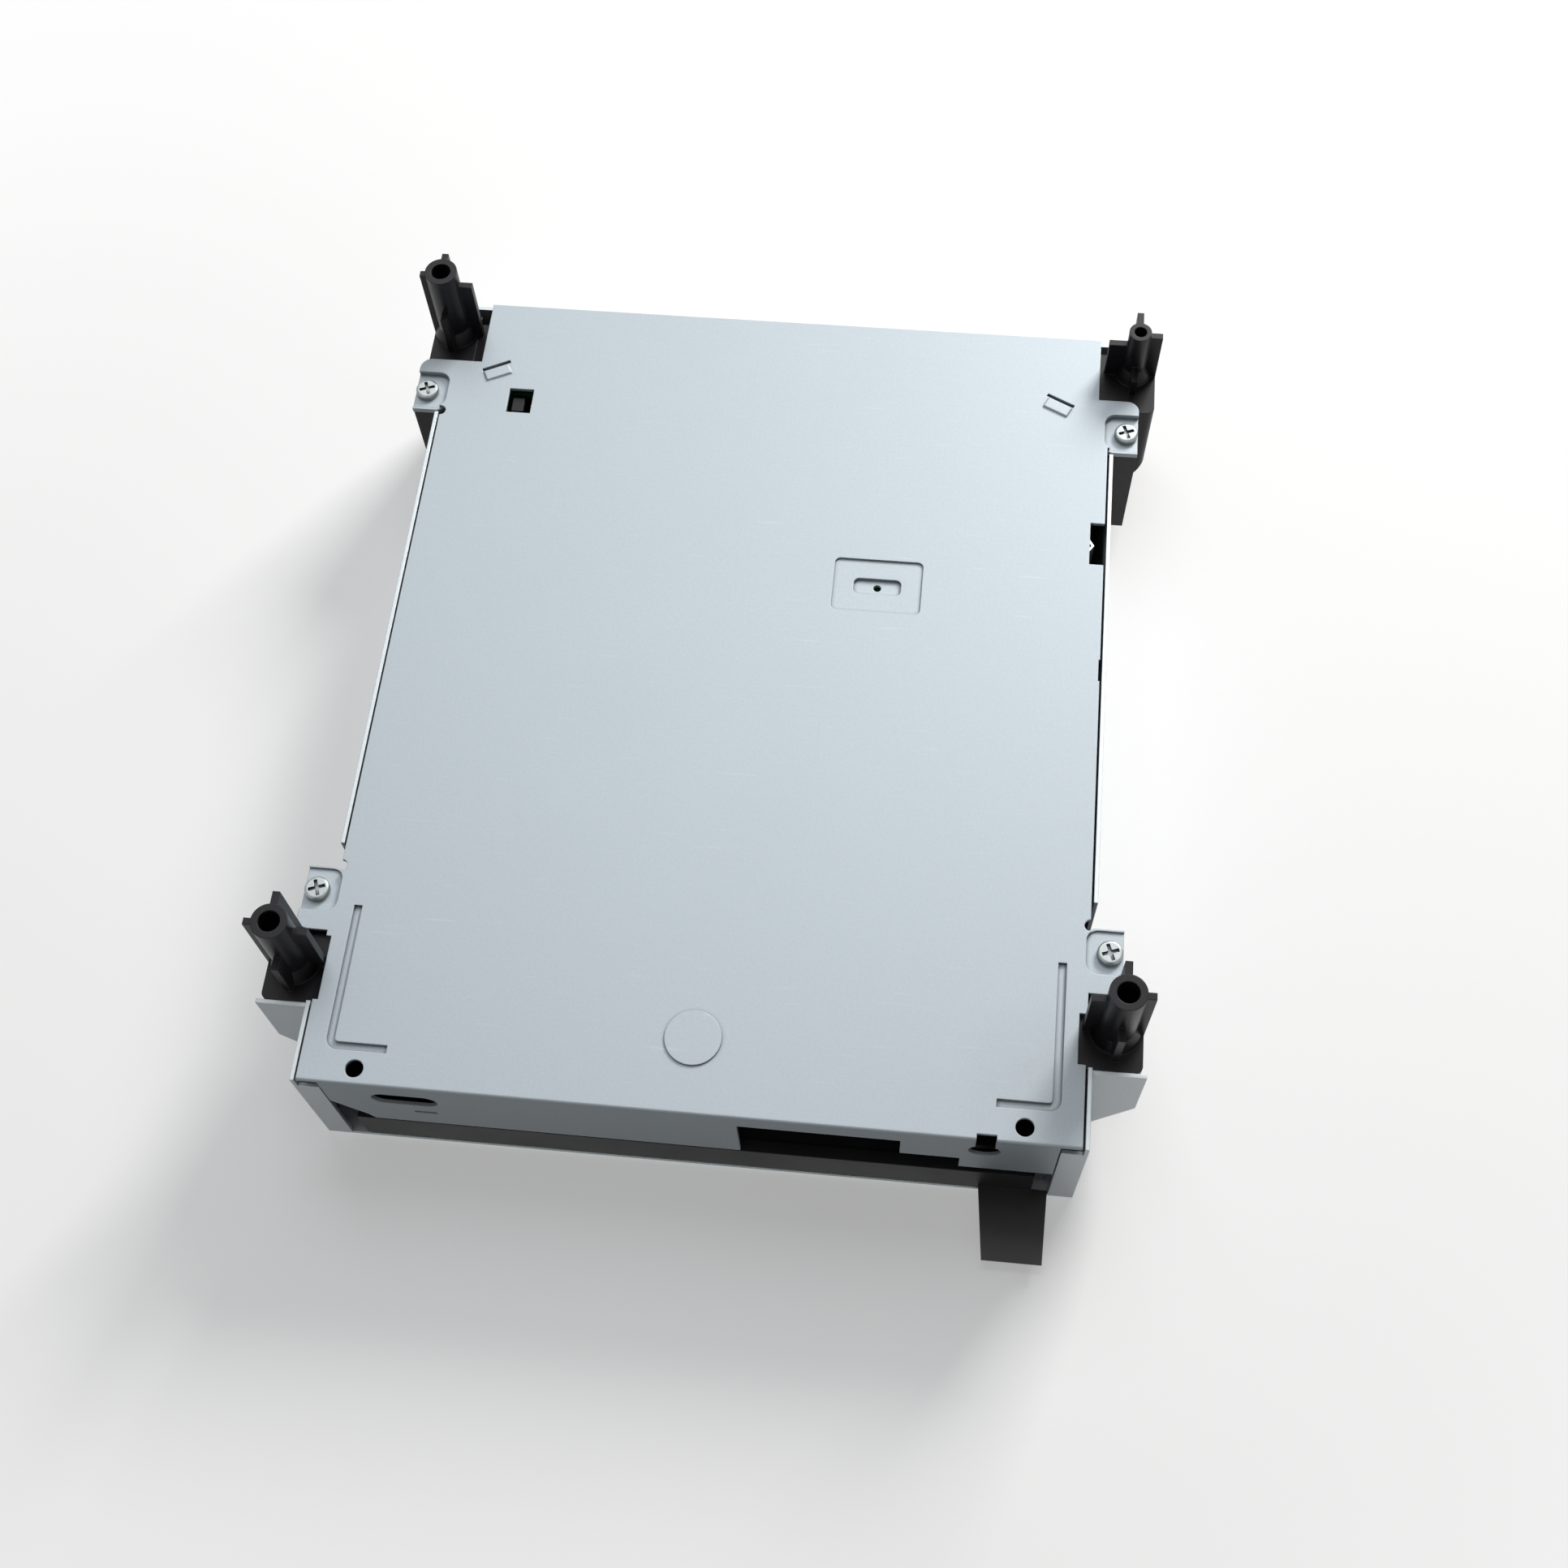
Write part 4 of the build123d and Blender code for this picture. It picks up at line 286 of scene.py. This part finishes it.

# What all finishes share: the fine grain, the wide cloud over it, a painted highlight on edges
# and bumps
growth = {
    "grainDetail": 4.0,
    "grainRoughness": 0.55,
    "cloudScale": 38.0,
    "cloudDetail": 5.0,
    "cloudRoughness": 0.6,
    "mottleSpan": (0.7, 1.3),        # of grain plus cloud
    "roughSpan": (0.3, 0.7),         # of the cloud alone
    "smoother": 0.05,
    "rougher": 0.06,
    "edgeSamples": 4,
    "edgeHighlightSpan": (0.98, 0.80),        # how far the rounded normal still follows the flat one
    # colour of the painted highlight on rounded edges
    "edgeHighlightColour": (0.9, 0.92, 0.93, 1.0),
    "bumpHeight": 0.05 * mm,
    "shine": 0.5,                    # for a finish that names none
}

# Painted shade in corners and recesses: how far it reaches from a wall and how it sets in
paintedShade = {
    "reach": 0.9 * mm,
    "samples": 6,
    "span": (0.93, 0.45),            # from an open face to a closed corner
    "colour": (0.045, 0.05, 0.055, 1.0),
}


def mixOver(tree, factor, colour):
    # Lays a colour over whatever feeds the shader's base colour
    shader = tree.nodes["Principled BSDF"]
    under = shader.inputs["Base Color"].links[0].from_socket
    layer = newNode(tree, "ShaderNodeMixRGB", {"Color2": colour})
    tree.links.new(factor, layer.inputs["Fac"])
    tree.links.new(under, layer.inputs["Color1"])
    tree.links.new(layer.outputs["Color"], shader.inputs["Base Color"])


def addPaintedShade(tree, strength):
    # Painted shade: darker where the piece's own walls stand close, in corners and pressed marks
    closed = newNode(tree, "ShaderNodeAmbientOcclusion", {"Distance": paintedShade["reach"]},
                     only_local=True, samples=paintedShade["samples"])
    amount = mapped(tree, closed.outputs["AO"], paintedShade["span"], (0.0, strength))
    mixOver(tree, amount, paintedShade["colour"])


def grownMaterial(name, look):
    # Paint, plastic or metal with fine grain, soft mottling and a painted highlight on rounded
    # edges
    material = bpy.data.materials.new(name)
    material.use_nodes = True
    tree = material.node_tree
    link = tree.links.new
    shader = tree.nodes["Principled BSDF"]
    place = newNode(tree, "ShaderNodeTexCoord")
    grain = newNode(tree, "ShaderNodeTexNoise", {
        "Scale": 1 / (look["grain"] * mm), "Detail": growth["grainDetail"],
        "Roughness": growth["grainRoughness"]})
    cloud = newNode(tree, "ShaderNodeTexNoise", {
        "Scale": growth["cloudScale"], "Detail": growth["cloudDetail"],
        "Roughness": growth["cloudRoughness"]})
    for texture in (grain, cloud):
        link(place.outputs["Object"], texture.inputs["Vector"])
    # mottled colour: the cloud and the grain together move the colour a little either way
    blend = newNode(tree, "ShaderNodeMath", operation="ADD")
    link(grain.outputs["Fac"], blend.inputs[0])
    link(cloud.outputs["Fac"], blend.inputs[1])
    spread = mapped(tree, blend.outputs["Value"], growth["mottleSpan"],
                    (1 - look["mottle"], 1 + look["mottle"]))
    # painted highlight on edges: the colour is lifted where the rounded normal leaves the flat
    # one
    rounded = newNode(tree, "ShaderNodeBevel", {"Radius": look["edge"] * mm},
                      samples=growth["edgeSamples"])
    flat = newNode(tree, "ShaderNodeNewGeometry")
    turn = newNode(tree, "ShaderNodeVectorMath", operation="DOT_PRODUCT")
    link(rounded.outputs["Normal"], turn.inputs[0])
    link(flat.outputs["Normal"], turn.inputs[1])
    edge = mapped(tree, turn.outputs["Value"], growth["edgeHighlightSpan"], (0.0, look["edgeHighlight"]))
    shade = newNode(tree, "ShaderNodeVectorMath", {0: look["colour"]}, operation="SCALE")
    link(spread, shade.inputs["Scale"])
    edgeHighlightLayer = newNode(tree, "ShaderNodeMixRGB", {"Color2": growth["edgeHighlightColour"]})
    link(edge, edgeHighlightLayer.inputs["Fac"])
    link(shade.outputs["Vector"], edgeHighlightLayer.inputs["Color1"])
    link(edgeHighlightLayer.outputs["Color"], shader.inputs["Base Color"])
    # painted shade in corners and recesses, where the finish asks for it
    if look.get("paintedShade"):
        addPaintedShade(tree, look["paintedShade"])
    # duller and glossier patches follow the cloud
    rough = mapped(tree, cloud.outputs["Fac"], growth["roughSpan"],
                   (look["rough"] - growth["smoother"], look["rough"] + growth["rougher"]))
    link(rough, shader.inputs["Roughness"])
    setInputs(shader, {"Metallic": look["metal"],
                       "Specular IOR Level": look.get("shine", growth["shine"])})
    bump = newNode(tree, "ShaderNodeBump",
                   {"Strength": look["bump"], "Distance": growth["bumpHeight"]})
    link(grain.outputs["Fac"], bump.inputs["Height"])
    link(rounded.outputs["Normal"], bump.inputs["Normal"])
    link(bump.outputs["Normal"], shader.inputs["Normal"])
    return material


# The pickup's lens: moulded clear plastic with a thin coating
lensGlass = {"Transmission Weight": 0.85, "IOR": 1.5, "Coat Weight": 0.4}

# Handling marks on the underside plate: a brownish smudge by the front right corner, faint scuffs
marks = {
    "smudgeCentre": (64 * mm, -80 * mm, 33 * mm),
    "smudgeReach": 17 * mm,
    "smudgeColour": (0.20, 0.165, 0.13, 1.0),
    "smudgeStrength": 0.28,
    "smudgeNoise": {"Scale": 160.0, "Detail": 5.0, "Roughness": 0.7},
    "scuffStretch": (14.0, 260.0, 1.0),
    "scuffTurn": 0.5,
    "scuffNoise": {"Scale": 6.0, "Detail": 3.0},
    "scuffSpan": (0.66, 0.76),       # of the noise: only its peaks show
    "scuffStrength": 0.10,
    "scuffColour": (0.85, 0.88, 0.90, 1.0),
}


def addMarks(material):
    tree = material.node_tree
    link = tree.links.new
    place = newNode(tree, "ShaderNodeTexCoord")
    # smudge: fades with the distance from its centre, times a ragged noise
    away = newNode(tree, "ShaderNodeVectorMath", {1: marks["smudgeCentre"]}, operation="DISTANCE")
    link(place.outputs["Object"], away.inputs[0])
    ragged = newNode(tree, "ShaderNodeTexNoise", marks["smudgeNoise"])
    link(place.outputs["Object"], ragged.inputs["Vector"])
    fade = mapped(tree, away.outputs["Value"], (marks["smudgeReach"], 0.0),
                  (0.0, marks["smudgeStrength"]))
    smudge = newNode(tree, "ShaderNodeMath", operation="MULTIPLY")
    link(fade, smudge.inputs[0])
    link(ragged.outputs["Fac"], smudge.inputs[1])
    mixOver(tree, smudge.outputs["Value"], marks["smudgeColour"])
    # scuffs: long thin stretches of noise above a threshold
    turned = newNode(tree, "ShaderNodeMapping",
                     {"Rotation": (0, 0, marks["scuffTurn"]), "Scale": marks["scuffStretch"]})
    link(place.outputs["Object"], turned.inputs["Vector"])
    streak = newNode(tree, "ShaderNodeTexNoise", marks["scuffNoise"])
    link(turned.outputs["Vector"], streak.inputs["Vector"])
    scuff = mapped(tree, streak.outputs["Fac"], marks["scuffSpan"], (0.0, marks["scuffStrength"]))
    mixOver(tree, scuff, marks["scuffColour"])


print("stage: materials")
materials = {name: grownMaterial(name, look) for name, look in finishes.items()}
setInputs(materials["clear_lens"].node_tree.nodes["Principled BSDF"], lensGlass)
addMarks(materials["cover_steel"])


def dressNodes():
    # Gives every piece of the frame the finish that its record entry names
    for part in frame["record"]["subparts"]:
        piece = nodes[part["node"]]
        finish = materials[part["material_slot"]]
        if not piece.material_slots:
            piece.data.materials.append(finish)
        for place in piece.material_slots:
            place.material = finish


dressNodes()


def roundPiece(name, points, body, slotName):
    # A surface from a grid of points: each row is a closed ring, and rings that follow each
    # other are joined by four-sided faces
    rows, columns = points.shape[:2]
    index = np.arange(rows * columns).reshape(rows, columns)
    index = np.hstack([index, index[:, :1]])
    faces = np.stack([index[:-1, :-1], index[:-1, 1:], index[1:, 1:], index[1:, :-1]], axis=-1)
    mesh = bpy.data.meshes.new(name)
    mesh.from_pydata(points.reshape(-1, 3).tolist(), [], faces.reshape(-1, 4).tolist())
    piece = bpy.data.objects.new(name, mesh)
    scene.collection.objects.link(piece)
    mesh.materials.append(materials[slotName])
    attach(piece, body)
    return piece


# Lead screw: one helical groove, cut into the shaft that the frame gives
leadScrew = {
    "lead": 3.0 * mm,
    "depth": 0.32 * mm,
    "around": 24,                # points in a ring
    "perTurn": 14,               # rings in one turn of the groove
    "plainEnd": 3.0 * mm,
    "runOut": 0.6 * mm,          # length over which the groove comes to its full depth
    "wallGain": 1.6,             # more gives steeper walls
    "wallStart": 0.2,            # more gives a narrower groove
}


def makeLeadScrew():
    # Radius = shaft radius - depth * groove * threaded. groove is the cosine of (turn angle -
    # 2 pi y / lead) times a gain less a start, held between 0 and 1. threaded rises from 0 to 1
    # past the plain ends.
    low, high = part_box("lead_screw")
    shaftRadius = (high[0] - low[0]) / 2
    middleX = (high[0] + low[0]) / 2
    middleZ = (high[2] + low[2]) / 2
    length = high[1] - low[1]
    around = leadScrew["around"]
    rows = int(length / leadScrew["lead"] * leadScrew["perTurn"])
    along = np.linspace(low[1], high[1], rows)
    turn = np.linspace(0, 2 * np.pi, around, endpoint=False)
    y, angle = np.meshgrid(along, turn, indexing="ij")
    wave = np.cos(angle - 2 * np.pi * y / leadScrew["lead"])
    groove = np.clip(wave * leadScrew["wallGain"] - leadScrew["wallStart"], 0, 1)
    fromEnd = np.minimum(y - low[1], high[1] - y)
    threaded = np.clip((fromEnd - leadScrew["plainEnd"]) / leadScrew["runOut"], 0, 1)
    radius = shaftRadius - leadScrew["depth"] * groove * threaded
    x = middleX + radius * np.cos(angle)
    z = middleZ + radius * np.sin(angle)
    rings = np.stack([x, y, z], axis=-1)
    # a ring drawn together to one point closes each end
    ends = [np.tile([[middleX, place, middleZ]], (1, around, 1)) for place in (low[1], high[1])]
    points = np.concatenate([ends[0], rings, ends[1]], axis=0)
    screw = roundPiece("lead_screw_thread", points[::-1], "lead", "steel")
    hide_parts("lead_screw")


print("stage: details")
makeLeadScrew()
